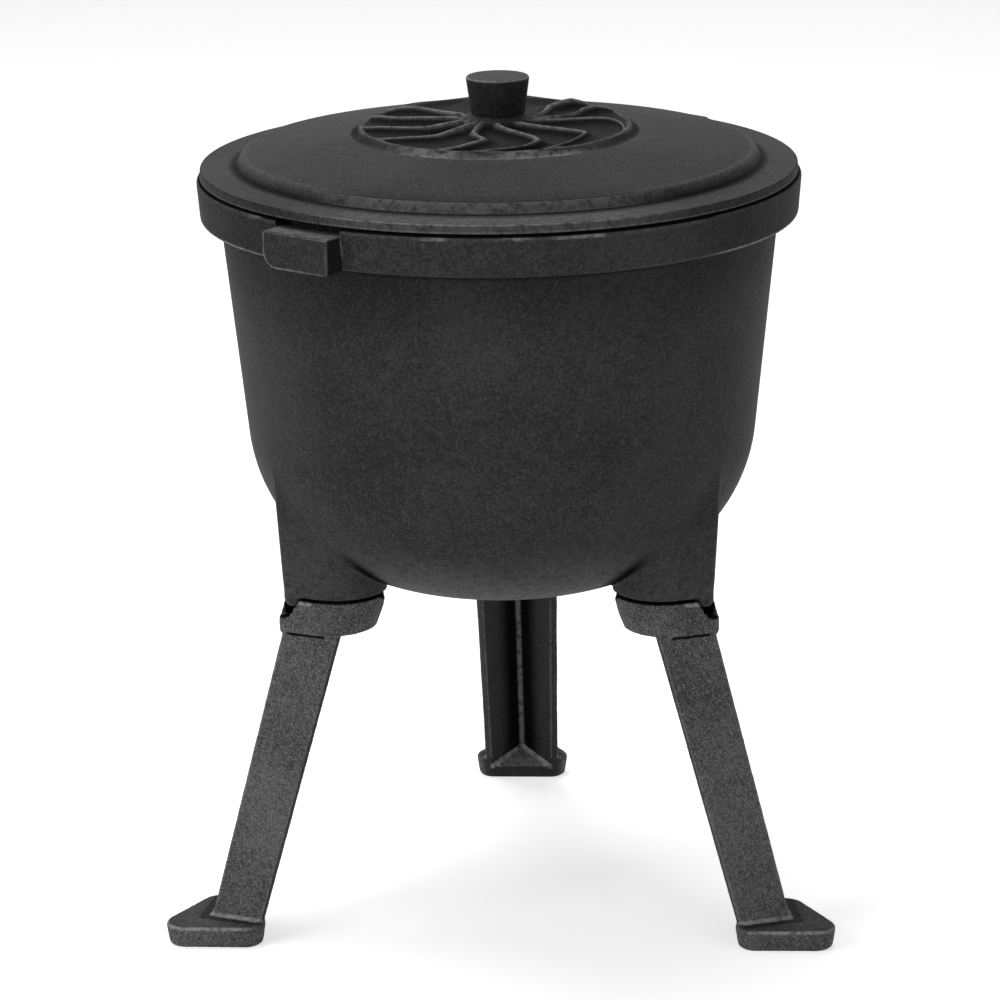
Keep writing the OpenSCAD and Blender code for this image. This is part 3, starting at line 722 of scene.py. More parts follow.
def makeBoss(azimuth):
    g = bossForm
    outline = teardrop(g["radius"], g["columns"])
    grown = teardrop(g["radius"] + 0.08 * math.tan(math.radians(g["draft"])), g["columns"])
    columns = [bossColumn(i, outline, grown) for i in range(len(outline))]
    rings = len(columns[0]) + 4
    across = len(outline)
    deselectAll()
    bpy.ops.mesh.primitive_grid_add(x_subdivisions=across, y_subdivisions=rings, size=2)
    boss = bpy.context.object
    boss.name = "bellyBoss"
    for vertex in boss.data.vertices:
        i = round((vertex.co.x + 1) / 2 * across) % across
        j = round((vertex.co.y + 1) / 2 * rings)
        edge = Vector((outline[i][0], outline[i][1], g["faceZ"]))
        inward = Vector((-edge.x, -edge.y, 0)).normalized()
        if j == 0:
            vertex.co = (0.002, 0, g["faceZ"])
        elif j == 1:
            vertex.co = edge + inward * (g["bottomRound"] * 3)
        elif j <= 4:
            a = math.radians(90 * (j - 2) / 3)
            r = g["bottomRound"]
            vertex.co = edge + inward * r * (1 - math.sin(a)) + Vector((0, 0, r * (1 - math.cos(a))))
        else:
            line = columns[i]
            vertex.co = line[j - 4] if j - 4 < len(line) else line[-1]
    tidyMesh(boss)

    def bossShade(point):
        # painted shade in the valley where the boss meets the belly and on its bottom face; painted light on
        # its lower part
        side = point.x / max(0.001, math.hypot(point.x, point.y))
        grownR = g["radius"] + (point.z - g["faceZ"]) * math.tan(math.radians(g["draft"]))
        away = math.hypot(point.x, point.y) - grownR
        valley = math.exp(-(min(0, away - 0.0015) / 0.0010) ** 2) * smoothStep((0.75 - side) / 1.0)
        valley *= 1 - smoothStep((point.z - 0.185) / 0.040)
        climb = point.z > g["faceZ"] + 0.0015
        lit = 0.14 * (1 - smoothStep((point.z - g["faceZ"]) / 0.06)) * (1 - valley)
        return (1.0 if point.z < g["faceZ"] + 0.0002 else valley * climb), lit

    shadeBy(boss, bossShade)
    low = g["faceZ"] - g["tabH"]
    tab = lathe("bossTab", [
        (0, low), (g["tabR"] * 0.35, low + g["tabH"] * 0.03), (g["tabR"] * 0.7, low + g["tabH"] * 0.16),
        (g["tabR"] * 0.92, low + g["tabH"] * 0.38), (g["tabR"], low + g["tabH"] * 0.7),
        (g["tabR"], g["faceZ"] + 0.004), (0, g["faceZ"] + 0.004)
    ], 32)
    tipX = (g["radius"] - g["tipR"]) / math.cos(math.radians(g["faceTurn"]))
    # painted highlight on the tab's lower part, in the head's notch
    shadeBy(tab, lambda point: (0.0, 0.7 if point.z < g["faceZ"] - 0.0040 else 0.1))
    placed(tab, offset=(tipX, 0, 0))
    boss = joinAll([boss, tab])
    placed(boss, offset=(g["centreR"], 0, 0))
    placed(boss, turn=(0, 0, azimuth))
    smoothByAngle(boss, 50)
    return boss


shadeBy(bowl, bowlShade)
lugs = [makeLug(lugForm["azimuth"] + side) for side in (0, 180)]
print("stage: bowl and lugs made")
bosses = [makeBoss(azimuth) for azimuth in legNodes.values()]
pot = joinAll([bowl] + lugs + bosses)
pot.name = "potCasting"
finishPiece(pot, blackEnamel, "pot", "enamel", "pot_body")
print("stage: bosses made")

# Lid: turned shell with the curled rosette raised on its dome

lidForm = {
    "radius": 0.1433, "lowZ": 0.3629, "edgeT": 0.0045, "flangeW": 0.0172,
    "flangeRise": 0.0009, "stepH": 0.0054, "stepW": 0.0033, "domeRise": 0.0119,
    "thickness": 0.0045, "ringR": 0.1365, "ringT": 0.0035, "ringH": 0.007,
    "holeR": 0.0035, "padH": 0.0009, "padStart": 45.4, "padEnd": 63, "underRise": 0.0003,
}
rosetteForm = {
    "ridges": 11, "perRidge": 36, "radius": 0.0668, "height": 0.0046,
    # each ridge's own azimuth at these radii, less its number's even share of the circle
    "crestR": (0.016, 0.028, 0.038, 0.047, 0.054, 0.060, 0.064, 0.067),
    "crests": [
        (210, 214, 216, 206, 198, 191, 186, 184), (196, 204, 205, 205, 197, 187, 180, 176),
        (178, 186, 192, 202, 197, 191, 184, 179), (172, 183, 192, 197, 197, 188, 166, 160),
        (172, 181, 189, 193, 195, 178, 164, 157), (172, 184, 193, 199, 200, 195, 183, 168),
        (156, 164, 178, 193, 196, 198, 194, 191), (139, 168, 181, 182, 182, 181, 181, 181),
        (172, 186, 194, 196, 197, 197, 198, 198), (226, 218, 212, 210, 212, 213, 214, 215),
        (219, 215, 212, 209, 204, 199, 195, 193),
    ],
    "shift": 0.0015, "rearRise": 0.70,
    "floor": 0.0004, "crestRound": 0.0006, "lipShare": 0.60, "lipStart": 0.84,
    "wallIn": 0.0645, "wallOut": 0.0682, "scallop": 0.0009, "scallopTurn": 0.2,
    "hubR": 0.0134, "hubH": 0.0048, "hubFootR": 0.024, "uneven": 0.08,
    # azimuths and widths of the painted highlight patches on the rosette's front wall
    "highlightAndWear": ((245, 13), (284, 7), (299, 11)),
}


def domeHeight(r):
    f = lidForm
    return f["domeZ"] - f["domeRise"] * (r / f["domeR"]) ** 2


def readOff(radii, values, r):
    if r <= radii[0]:
        return values[0]
    for (r0, v0), (r1, v1) in zip(zip(radii, values), zip(radii[1:], values[1:])):
        if r <= r1:
            return v0 + (v1 - v0) * (r - r0) / (r1 - r0)
    return values[-1]


def crestAzimuths(r):
    # where each ridge's crest lies at this radius, with its bends rounded
    g = rosetteForm
    even = smoothStep((r - 0.070) / 0.030)
    azimuths = []
    for number, turns in enumerate(g["crests"]):
        turn = sum(readOff(g["crestR"], turns, r + 0.0008 * i) for i in range(-2, 3)) / 5
        azimuths.append(turn * (1 - even) + 185 * even + 360 / g["ridges"] * number)
    return azimuths + [azimuths[0] + 360]


def ridgeHeight(r, part, halfArc, crestHeight):
    # part is 1 on a crest and 0 in the middle of a scoop
    g = rosetteForm
    u = r / g["radius"]
    soft = g["crestRound"] / halfArc
    away = math.sqrt((1 - part) ** 2 + soft ** 2) - soft * 0.6
    scoop = max(0.0, 1 - away) ** 2.5
    rise = max(0.0, (u - g["lipStart"]) / (1 - g["lipStart"]))
    crest = scoop * crestHeight * (1 - (1 - g["lipShare"]) * min(1.0, rise))
    lip = g["height"] * g["lipShare"] * min(1.0, 1.3 * rise ** 1.5)
    return g["floor"] + max(crest, lip) - g["floor"] * max(scoop, min(1.0, rise))


def rosetteHeight(r, column, halfArc, crestHeights):
    g = rosetteForm
    if r <= g["hubR"]:
        return g["hubH"] + lidForm["domeZ"] - domeHeight(r)
    phase = column % g["perRidge"] / g["perRidge"]
    part = abs(2 * phase - 1)
    number = round(column / g["perRidge"]) % g["ridges"]
    share = max(0.0, 1 - (r - g["hubR"]) / (g["hubFootR"] - g["hubR"]))
    hub = g["hubH"] * share ** 2
    ridge = ridgeHeight(r, part, halfArc, crestHeights[number]) * smoothStep((r - g["hubR"]) / 0.006)
    bulge = g["scallop"] * math.cos(2 * math.pi * (phase + g["scallopTurn"]))
    fall = 1 - smoothStep((r - bulge - g["wallIn"]) / (g["wallOut"] - g["wallIn"]))
    return max(ridge, hub + ridge * 0.4) * fall


def lidProfile():
    f = lidForm
    g = rosetteForm
    f["creaseR"] = f["radius"] - f["flangeW"]
    f["domeR"] = f["creaseR"] - f["stepW"]
    edgeZ = f["lowZ"] + f["edgeT"]
    creaseZ = edgeZ + f["flangeRise"]
    footZ = creaseZ + f["stepH"]
    f["domeZ"] = footZ + f["domeRise"]
    underZ = f["domeZ"] - f["thickness"]
    ringInR = f["ringR"] - f["ringT"]
    radii = [0.009 + (0.1195 - 0.009) * i / 24 for i in range(1, 25)]
    under = [(f["holeR"], underZ), (0.009, underZ)]
    under += [(r, domeHeight(r) - f["thickness"]) for r in radii]
    under += roundCorner((0.12, domeHeight(0.12) - f["thickness"]), (0.127, f["lowZ"]),
                         (ringInR - 0.001, f["lowZ"]), 0.002, 3)
    under += [
        (ringInR - 0.001, f["lowZ"]), (ringInR, f["lowZ"] - 0.001),
        (ringInR + 0.0002, f["lowZ"] - f["ringH"] + 0.0006), (ringInR + 0.0008, f["lowZ"] - f["ringH"]),
        (f["ringR"] - 0.0008, f["lowZ"] - f["ringH"]), (f["ringR"], f["lowZ"] - f["ringH"] + 0.0008),
        (f["ringR"], f["lowZ"] - 0.0006), (f["ringR"] + 0.0006, f["lowZ"])
    ]
    under.append((0.1392, f["lowZ"]))
    liftedZ = f["lowZ"] + f["underRise"]
    edge = roundCorner((0.1392, f["lowZ"]), (f["radius"], liftedZ),
                       (f["radius"], edgeZ), 0.0006, 3)
    edge.append((f["radius"] - 0.0001, liftedZ + 0.0012))
    edge += roundCorner((f["radius"], liftedZ), (f["radius"] - 0.0003, edgeZ),
                        (f["creaseR"], creaseZ), 0.0008, 4)
    flange = [(r, edgeZ + f["flangeRise"] * (f["radius"] - r) / f["flangeW"])
              for r in (0.1412, 0.1400, 0.1365, 0.1330, 0.1300)]
    crease = roundCorner((f["radius"], edgeZ), (f["creaseR"], creaseZ),
                         (f["domeR"], footZ), 0.0018, 5)
    shoulder = roundCorner((f["creaseR"], creaseZ), (f["domeR"], footZ),
                           (f["domeR"] - 0.012, domeHeight(f["domeR"] - 0.012)), 0.0030, 7)
    startR = shoulder[-1][0] - 0.002
    dome = [startR + (0.0695 - startR) * i / 14 for i in range(15)]
    dome += [0.0690 - 0.0090 * i / 36 for i in range(37)]
    dome += [0.0600 - (0.0600 - g["hubR"]) * i / 60 for i in range(1, 61)]
    dome += [g["hubR"] - 0.0003, 0.0110, 0.0080, 0.0055, f["holeR"]]
    return under + edge + flange + crease + shoulder + [(r, domeHeight(r)) for r in dome]


def rosetteShade(r, column, halfArc, azimuth):
    # painted shade in the scoops and on the rosette's side walls; painted highlights along the crests, round
    # the lip and in patches on its front wall, with some wear on the crests
    g = rosetteForm
    phase = column % g["perRidge"] / g["perRidge"]
    part = abs(2 * phase - 1)
    front = max(0.0, -math.sin(azimuth)) ** 2
    zone = smoothStep((r - g["hubR"] - 0.001) / 0.004) * (1 - smoothStep((r - 0.0625) / 0.003))
    away = (1 - part) * halfArc
    hollow = zone * smoothStep((away - 0.0005) / 0.0022) * (0.85 - 0.25 * smoothStep((away - 0.003) / 0.006))
    crest = zone * math.exp(-(away / 0.0011) ** 2)
    lipCrest = math.exp(-((r - g["wallIn"] + 0.0006) / 0.0008) ** 2) * (0.2 + 0.5 * part)
    wall = smoothStep((r - g["wallIn"] - 0.0006) / 0.001) * (1 - smoothStep((r - 0.0686) / 0.0008))
    turn = math.degrees(azimuth) % 360
    highlightAndWear = 0.35 + 0.70 * max(math.exp(-((turn - at) / wide) ** 2) for at, wide in g["highlightAndWear"])
    return max(hollow, wall * 0.75 * (1 - front)), max(crest, lipCrest, wall * highlightAndWear * front)


def lidShade(r, z, azimuth):
    # painted highlights on the shoulder, flange and lower edge; painted shade in the crease, on the edge
    # face, under the flange and on the dome's front and right
    f = lidForm
    hollow = 0.0
    crest = 0.0
    front = smoothStep((0.72 - abs(math.cos(azimuth))) / 0.35)
    edgeZ = f["lowZ"] + f["edgeT"]
    if z < domeHeight(r) - 0.0012 and r < f["domeR"]:
        return 0.0, 0.0
    footZ = edgeZ + f["flangeRise"] + f["stepH"]
    # painted shade on the dome towards the front and right
    if r < f["domeR"] - 0.0016:
        facing = min(1.0, max(0.0, -math.sin(azimuth)) + max(0.0, math.cos(azimuth)))
        hollow = 0.16 * facing * smoothStep((r - 0.069) / 0.01)
        hollow += 0.20 * front * smoothStep((r - f["domeR"] + 0.010) / 0.007)
    # painted shade and painted highlights across the shoulder
    elif z > footZ - 0.0004:
        hollow = 0.30 * front
        crest = 0.12 * (1 - front)
    elif r < f["domeR"] + 0.0009 and z > edgeZ:
        crest = 0.13 + 0.37 * front
    elif r < f["domeR"] + 0.0031 and z > edgeZ:
        hollow = 0.75 * (1 - front)
        crest = 0.40 * front
    # painted shade in the crease
    elif r < f["creaseR"] + 0.0014 and z > edgeZ:
        hollow = 0.75
    # painted light on the flange's front
    elif z > edgeZ - 0.0004 and f["radius"] - 0.0105 < r < f["radius"] - 0.0020:
        crest = 0.27 * front
    # painted highlight on the edge at the front, painted shade on it at the sides
    elif r > f["radius"] - 0.0009 and z > edgeZ - 0.0006:
        hollow = 0.50 * (1 - front)
        crest = 0.85 * front
    elif r > f["radius"] - 0.0007 and z < f["lowZ"] + f["underRise"] + 0.0006:
        crest = 0.35 + 0.25 * front
    elif r > f["radius"] - 0.0009:
        hollow = 0.15 * (1 - front)
        crest = 0.25 * front
    # painted shade under the flange, outside the locating ring
    elif z < edgeZ - 0.002 and r > f["ringR"]:
        hollow = 1.0
    return hollow, crest


def makeLid():
    f = lidForm
    g = rosetteForm
    chance = random.Random(11)
    crestHeights = [g["height"] * (1 - g["uneven"] * chance.random()) for _ in range(g["ridges"])]
    columns = g["ridges"] * g["perRidge"]
    lid = lathe("lidCasting", lidProfile(), columns)
    shades = []
    rings = {}
    for vertex in lid.data.vertices:
        r = math.hypot(vertex.co.x, vertex.co.y)
        column = round(math.degrees(math.atan2(vertex.co.y, vertex.co.x)) * columns / 360) % columns
        # every ring is turned with the crests, so that an edge runs along each crest
        ring = rings.setdefault(round(r, 7), crestAzimuths(r))
        number, step = divmod(column, g["perRidge"])
        gap = ring[number + 1] - ring[number]
        azimuth = math.radians(ring[number] + gap * step / g["perRidge"])
        halfArc = max(0.0005, r * math.radians(gap) / 2)
        height = vertex.co.z
        onTop = height > domeHeight(r) - f["thickness"] / 2
        if onTop and r < 0.0692:
            shades.append(rosetteShade(r, column, halfArc, azimuth))
            rear = max(0.0, math.sin(azimuth)) ** 2 * smoothStep((r - 0.035) / 0.02)
            relief = rosetteHeight(r, column, halfArc, crestHeights)
            height = domeHeight(r) + relief * (1 + g["rearRise"] * rear)
        else:
            shades.append(lidShade(r, height, azimuth))
        own = math.degrees(azimuth) % 360
        if r > 0.129 and height > f["lowZ"] + f["edgeT"] - 0.0012 and f["padStart"] < own < f["padEnd"]:
            height += f["padH"] * smoothStep((f["padEnd"] - own) / 6) * smoothStep((r - 0.129) / 0.006)
        # the rosette sits a little off the knob's axis
        aside = 0
        if onTop:
            aside = g["shift"] * smoothStep((r - 0.014) / 0.030) * (1 - smoothStep((r - 0.070) / 0.035))
        vertex.co = (r * math.cos(azimuth) - aside, r * math.sin(azimuth), height)
    lid.data.update()
    setAttribute(lid, "hollow", [hollow for hollow, crest in shades])
    setAttribute(lid, "crest", [crest for hollow, crest in shades])
    smoothByAngle(lid, 50)
    return lid


lid = makeLid()
finishPiece(lid, blackEnamel, "lid", "enamel", "lid")
print("stage: lid made")

# Knob: truncated cone with softened edges

knobForm = {"footR": 0.0128, "topR": 0.0153, "height": 0.0182,
            "topRound": 0.0012, "footRound": 0.0006, "boreR": 0.00305, "boreD": 0.0112}


def makeKnob():
    f = knobForm
    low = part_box("knob")[0].z
    high = low + f["height"]
    profile = [(0, low + f["boreD"]), (f["boreR"], low + f["boreD"]), (f["boreR"], low)]
    profile += roundCorner((0, low), (f["footR"], low), (f["topR"], high), f["footRound"], 4)
    profile += [
        (f["footR"] + (f["topR"] - f["footR"]) * i / 8, low + f["height"] * i / 8)
        for i in range(1, 8)
    ]
    profile += roundCorner((f["footR"], low), (f["topR"], high), (0, high), f["topRound"], 6)
    profile += [(f["topR"] * (1 - i / 5) * 0.88, high) for i in range(0, 6)]
    knob = lathe("knobCone", profile, 72)

    def knobShade(point):
        # painted highlight round the top edge, painted shade on the side, a little painted light in patches
        # all over
        r = math.hypot(point.x, point.y)
        top = high - point.z
        if top < 0.0009 and r > f["topR"] - 0.0010 and top > 0.00005:
            return 0.0, 1.0
        return (0.48 if top > 0.0012 else 0.0), 0.11

    shadeBy(knob, knobShade)
    smoothByAngle(knob, 50)
    return knob


knob = makeKnob()
finishPiece(knob, blackEnamel, "lid", "enamel", "knob")
print("stage: knob made")

# Legs: angle-section column, head block and pad foot, fused as one rough casting

legForm = {
    "edgeFootR": 0.162, "edgeHeadR": 0.1204, "turn": 40,
    "faceFootW": 0.0259, "faceHeadW": 0.0291,
    "flangeT": 0.0058, "filletR": 0.003, "edgeRound": 0.0009,
    "headZ": 0.166, "headH": 0.0165, "seatR": 0.011, "seatH": 0.001, "packR": 0.0217,
    "notchH": 0.0090, "notchW": 0.013, "slope": 26, "grooveH": 0.0011, "grooveD": 0.0007,
    "recessR": 0.0095, "recessD": 0.003, "holeR": 0.0045,
    "footT": 0.011, "footInR": 0.141, "footL": 0.0445, "footAngle": 30.4, "footR": 0.010,
    "footEdge": 0.0012, "rampUp": 0.004, "rampDown": 0.0046,
    "voxel": 0.00078, "unevenness": 0.00009,
}


def anglePlan(width, shift, grown=0.0):
    f = legForm
    turn = math.radians(f["turn"])
    s, c = math.sin(turn), math.cos(turn)
    x0 = grown / c
    side = (x0 - (width + grown) * s, (width + grown) * c)
    inner = (side[0] - (f["flangeT"] + 2 * grown) * c, side[1] - (f["flangeT"] + 2 * grown) * s)
    back = x0 - (f["flangeT"] + 2 * grown) / c
    corners = [(x0, 0), side, inner, (back, 0), (inner[0], -inner[1]), (side[0], -side[1])]
    e = f["edgeRound"]
    plan = roundedOutline(corners, [e * 1.4, e, e, f["filletR"], e, e], 4)
    return [(x + shift, y) for x, y in plan]


def footPlan(inset):
    f = legForm
    angle = math.radians(f["footAngle"])
    pointR = f["footInR"] + f["footL"] - f["footR"] + f["footR"] / math.sin(angle)
    half = (pointR - f["footInR"]) * math.tan(angle) - inset / math.tan(math.pi / 4 - angle / 2)
    inX = f["footInR"] - bossForm["centreR"] + inset
    pointX = pointR - bossForm["centreR"] - inset / math.sin(angle)
    r = f["footR"] - inset
    return roundedOutline([(inX, -half), (pointX, 0), (inX, half)], [r, r, r], 8)


def makeFoot(cornerX, inX):
    # pad in three layers, hollowed in the leg's inner corner, and the ramp that fills it
    f = legForm
    layers = [(0, 0.0022), (0.0010, 0.0014), (0.0030, 0.0010), (f["footT"] - f["footEdge"], 0),
              (f["footT"], f["footEdge"])]
    pads = [
        prism("footPad", footPlan(lower[1]), footPlan(upper[1]), lower[0], upper[0])
        for lower, upper in zip(layers, layers[1:])
    ]
    reach = cornerX - inX + 0.001
    spread = reach / math.tan(math.radians(f["turn"]))
    space = [(cornerX, 0), (cornerX - reach, spread), (cornerX - reach, -spread)]
    for piece in pads:
        cutWith(piece, prism("cornerSpace", space, space, f["footT"] / 4, f["footT"] + 0.002))
    filled = [(x + f["flangeT"] * 0.5, y) for x, y in space]
    ramp = prism("cornerRamp", filled, filled, f["footT"] / 4 - 0.0005,
                 f["footT"] + f["rampUp"] + 0.001)
    tilt = math.degrees(math.atan2(f["rampUp"] + f["rampDown"], cornerX - inX))
    cut = slab("rampCut", -0.1, 0.1, -0.1, 0.1, 0, 0.1)
    cutWith(ramp, placed(cut, (inX, 0, f["footT"] - f["rampDown"]), (0, -tilt, 0)))
    cutWith(ramp, slab("rampSide", inX - 0.1, inX + 0.0002, -0.1, 0.1, -0.01, 0.05))
    return pads + [ramp]


def makeHead(slope):
    # block of the boss's plan that leans out with the leg, notched for the boss's tab
    f = legForm
    footZ = f["headZ"] - f["headH"]
    partZ = f["headZ"] - f["headH"] * 0.62
    radius = bossForm["radius"]
    middle = teardrop(radius, 60, slope * f["headH"] * 0.62)
    lowHead = prism("headLow", teardrop(radius - 0.0012, 60, slope * f["headH"] * 0.9), middle,
                    footZ, partZ)
    highHead = prism("headHigh", middle, teardrop(radius, 60), partZ, f["headZ"])
    tipX = (radius - bossForm["tipR"]) / math.cos(math.radians(bossForm["faceTurn"]))
    notchX = tipX - bossForm["tabR"] - 0.001
    circle = [(min(x, notchX - 0.0004), y) for x, y in arcPoints((0, 0), f["packR"], 45, 315, 60)]
    seat = prism("headSeat", circle, circle, f["headZ"] - 0.008, f["headZ"] + f["seatH"])
    wide, narrow = f["notchW"] / 2, f["notchW"] * 0.3
    notchTop = [(notchX, -wide), (notchX + 0.04, -wide), (notchX + 0.04, wide), (notchX, wide)]
    notchLow = [(x, y / wide * narrow) for x, y in notchTop]
    cutWith(highHead, prism("tabNotch", notchLow, notchTop, f["headZ"] - f["notchH"],
                            f["headZ"] + 0.0002))
    slopeCut = slab("slopeCut", -0.06, 0, -0.05, 0.05, 0, 0.03)
    cutWith(highHead, placed(slopeCut, (-f["seatR"] - 0.0006, 0, f["headZ"]), (0, -f["slope"], 0)))
    return [lowHead, highHead, seat]


def legShade(point):
    # painted highlights on the arrises, fillet, foot edges and ramp, partly wear on the arrises and ramp
    # edges; painted shade on the flange ends, inner corners, foot top, head top, notch, gap and head crease
    f = legForm
    x, y, z = point.x, abs(point.y), point.z
    footZ = f["headZ"] - f["headH"]
    turn = math.radians(f["turn"])
    s, c = math.sin(turn), math.cos(turn)
    share = max(0.0, min(1.0, (z - f["footT"]) / (footZ - f["footT"])))
    cornerX = f["edgeFootR"] + (f["edgeHeadR"] - f["edgeFootR"]) * share - bossForm["centreR"]
    width = f["faceFootW"] + (f["faceHeadW"] - f["faceFootW"]) * share
    side = (cornerX - width * s, width * c)
    inner = (side[0] - f["flangeT"] * c, side[1] - f["flangeT"] * s)
    backX = cornerX - f["flangeT"] / c
    outFace = (x - cornerX) * c + y * s
    inFace = (backX - x) * c - y * s
    hollow = 0.0
    crest = 0.0
    # column: bright arrises, partly wear and partly painted highlight, painted shade on the flange ends, a
    # painted highlight along the inner fillet with painted shade beside it
    if f["footT"] + 0.0004 < z < footZ - 0.0012:
        arris = min(math.dist((x, y), side), math.dist((x, y), inner))
        crest = 0.40 * (1 - smoothStep((arris - 0.0005) / 0.0005))
        endFace = (side[0] - x) * -s + (side[1] - y) * c
        if arris > 0.0010 and abs(endFace) < 0.0009 and y > inner[1]:
            hollow = 0.60
        if math.hypot(x - cornerX, y) < 0.0012:
            crest = 0.30
        if -0.0035 < inFace < 0.0025:
            bright = 1 - smoothStep((y - 0.0009) / 0.0006)
            crest = max(crest, bright * 0.5)
            hollow = max(hollow, (1 - bright) * (1 - smoothStep((y - 0.004) / 0.008)))
    # painted highlight along the foot's top edge under the column's faces
    if f["footT"] - 0.0004 < z < f["footT"] + 0.0016 and abs(outFace) < 0.0014 and y < side[1]:
        crest = 1.0
    # painted shade on the foot's top round the column
    if abs(z - f["footT"]) < 0.0006 and outFace > 0.0014:
        hollow = 0.75 if outFace < 0.0058 and y < side[1] + 0.002 else 0.42
    angle = math.radians(f["footAngle"])
    pointR = f["footInR"] + f["footL"] - f["footR"] + f["footR"] / math.sin(angle) - bossForm["centreR"]
    rimIn = (pointR - x) * math.sin(angle) - y * math.cos(angle)
    # painted highlight round the foot's top rim
    if f["footT"] - 0.0014 < z < f["footT"] - 0.0001 and outFace > 0.003:
        tipR = pointR - f["footR"] / math.sin(angle)
        if x > tipR:
            rimIn = min(rimIn, f["footR"] - math.hypot(x - tipR, y)) if math.hypot(x - tipR, y) > 0 else rimIn
        crest = max(crest, 1 - smoothStep((rimIn - 0.0008) / 0.0008))
    inX = f["footInR"] - bossForm["centreR"]
    rampZ = f["footT"] - f["rampDown"] + (x - inX) / (backX - inX) * (f["rampUp"] + f["rampDown"])
    # painted highlight on the corner ramp, brightest at its edges
    if x < backX + 0.0005 and x > inX - 0.001 and inFace > -0.0008 and abs(z - rampZ) < 0.0014:
        crest = 1.0 if inFace < 0.0016 else 0.35
        hollow = 0.0
    # head: painted shade on its top under the boss, in the notch and in the crease below, a painted highlight
    # beside the notch
    radius = math.hypot(x, y)
    topZ = f["headZ"] - max(0.0, -f["seatR"] - 0.0006 - x) * math.tan(math.radians(f["slope"]))
    tipX = (bossForm["radius"] - bossForm["tipR"]) / math.cos(math.radians(bossForm["faceTurn"]))
    notchX = tipX - bossForm["tabR"] - 0.001
    if z > topZ - 0.0005:
        hollow = 1.0
        crest = 0.0
    elif z > topZ - 0.0024 and f["notchW"] / 2 + 0.0004 < y < f["notchW"] / 2 + 0.0060 and x > 0.010:
        crest = 1.3
    level = (z - f["headZ"] + f["notchH"]) / f["notchH"]
    reach = f["notchW"] * (0.3 + 0.2 * max(0.0, min(1.0, level)))
    if x > notchX - 0.0006 and y < reach + 0.0004 and level > -0.06:
        outer = smoothStep((x - tipX - 0.0030) / 0.0012)
        hollow = 1.0 - 0.8 * outer if y > reach - 0.0012 else 1.0
        crest = 0.0
    if abs(z - footZ + 0.0006) < 0.0010 and abs(outFace) < 0.0022 and 0.0030 < y < side[1] * 0.80:
        hollow = 1.0
        crest = 0.0
    return hollow, crest


def makeLegCasting():
    f = legForm
    centreR = bossForm["centreR"]
    footZ = f["headZ"] - f["headH"]
    slope = (f["edgeFootR"] - f["edgeHeadR"]) / (footZ - f["footT"])
    footX = f["edgeFootR"] - centreR
    headX = f["edgeHeadR"] - centreR
    grooveZ = footZ - f["grooveH"]
    column = prism("legColumn", anglePlan(f["faceFootW"], footX + slope * 0.001),
                   anglePlan(f["faceHeadW"], headX + slope * f["grooveH"]),
                   f["footT"] - 0.001, grooveZ)
    # a fine groove runs round the column under the head
    neck = prism("legNeck", anglePlan(f["faceHeadW"], headX + slope * f["grooveH"] * 2, -f["grooveD"]),
                 anglePlan(f["faceHeadW"], headX - slope * 0.004, -f["grooveD"]),
                 grooveZ - 0.002, footZ + 0.004)
    foot = makeFoot(footX - f["flangeT"] / math.cos(math.radians(f["turn"])), f["footInR"] - centreR)
    leg = joinAll([column, neck] + foot + makeHead(slope))
    applyModifier(leg, "REMESH", mode="VOXEL", voxel_size=f["voxel"], adaptivity=0)
    hole = arcPoints((0, 0), f["holeR"], 0, 350, 35)
    recess = arcPoints((0, 0), f["recessR"], 0, 352.5, 47)
    cutWith(leg, prism("boltHole", hole, hole, footZ - 0.002, f["headZ"] + 0.004))
    cutWith(leg, prism("headRecess", recess, recess, footZ - 0.02, footZ + f["recessD"]))
    applyModifier(leg, "SMOOTH", factor=0.5, iterations=2)
    shadeBy(leg, legShade)
    return placed(leg, offset=(centreR, 0, 0))


def roughen(obj, amount, seed):
    # slight unevenness of a sand casting, moved along each point's normal
    offset = Vector((seed * 3.1, seed * 1.7, 0))
    normals = [v.normal.copy() for v in obj.data.vertices]
    for vertex, normal in zip(obj.data.vertices, normals):
        if vertex.co.z < 0.0006:
            continue
        here = vertex.co + offset
        vertex.co += normal * amount * (noise.noise(here * 420) + 0.8 * noise.noise(here * 150))
    obj.data.update()


legCasting = makeLegCasting()
legs = []
for number, (name, azimuth) in enumerate(legNodes.items()):
    leg = legCasting if number == 2 else legCasting.copy()
    if number != 2:
        leg.data = legCasting.data.copy()
        bpy.context.scene.collection.objects.link(leg)
    leg.name = name.replace("leg_", "casting_")
    roughen(leg, legForm["unevenness"], number + 1)
    placed(leg, turn=(0, 0, azimuth))
    smoothByAngle(leg, 60)
    finishPiece(leg, roughIron, "pot", "leg_iron", name)
    legs.append(leg)
print("stage: legs made")

# Bolts, washers and screw keep their CAD shapes in plated steel
for name, node in nodes.items():
    finish = roughIron if name in legNodes else blackEnamel
    if "bolt" in name or "washer" in name or "screw" in name:
        finish = platedSteel
    node.data.materials.clear()
    node.data.materials.append(finish)

# Floor, light and camera

studioForm = {"floorSize": 14.0, "floorColour": (0.92, 0.92, 0.92, 1), "floorGlow": 0.62,
              "worldStrength": 0.16}


def seenDirectly(tree):
    # 1 for what the camera sees, itself or in metal and glass
    path = addNode(tree, "ShaderNodeLightPath")
    seen = mathNode(tree, "MAXIMUM", path.outputs["Is Camera Ray"], path.outputs["Is Glossy Ray"])
    return mathNode(tree, "MAXIMUM", seen, path.outputs["Is Transmission Ray"])


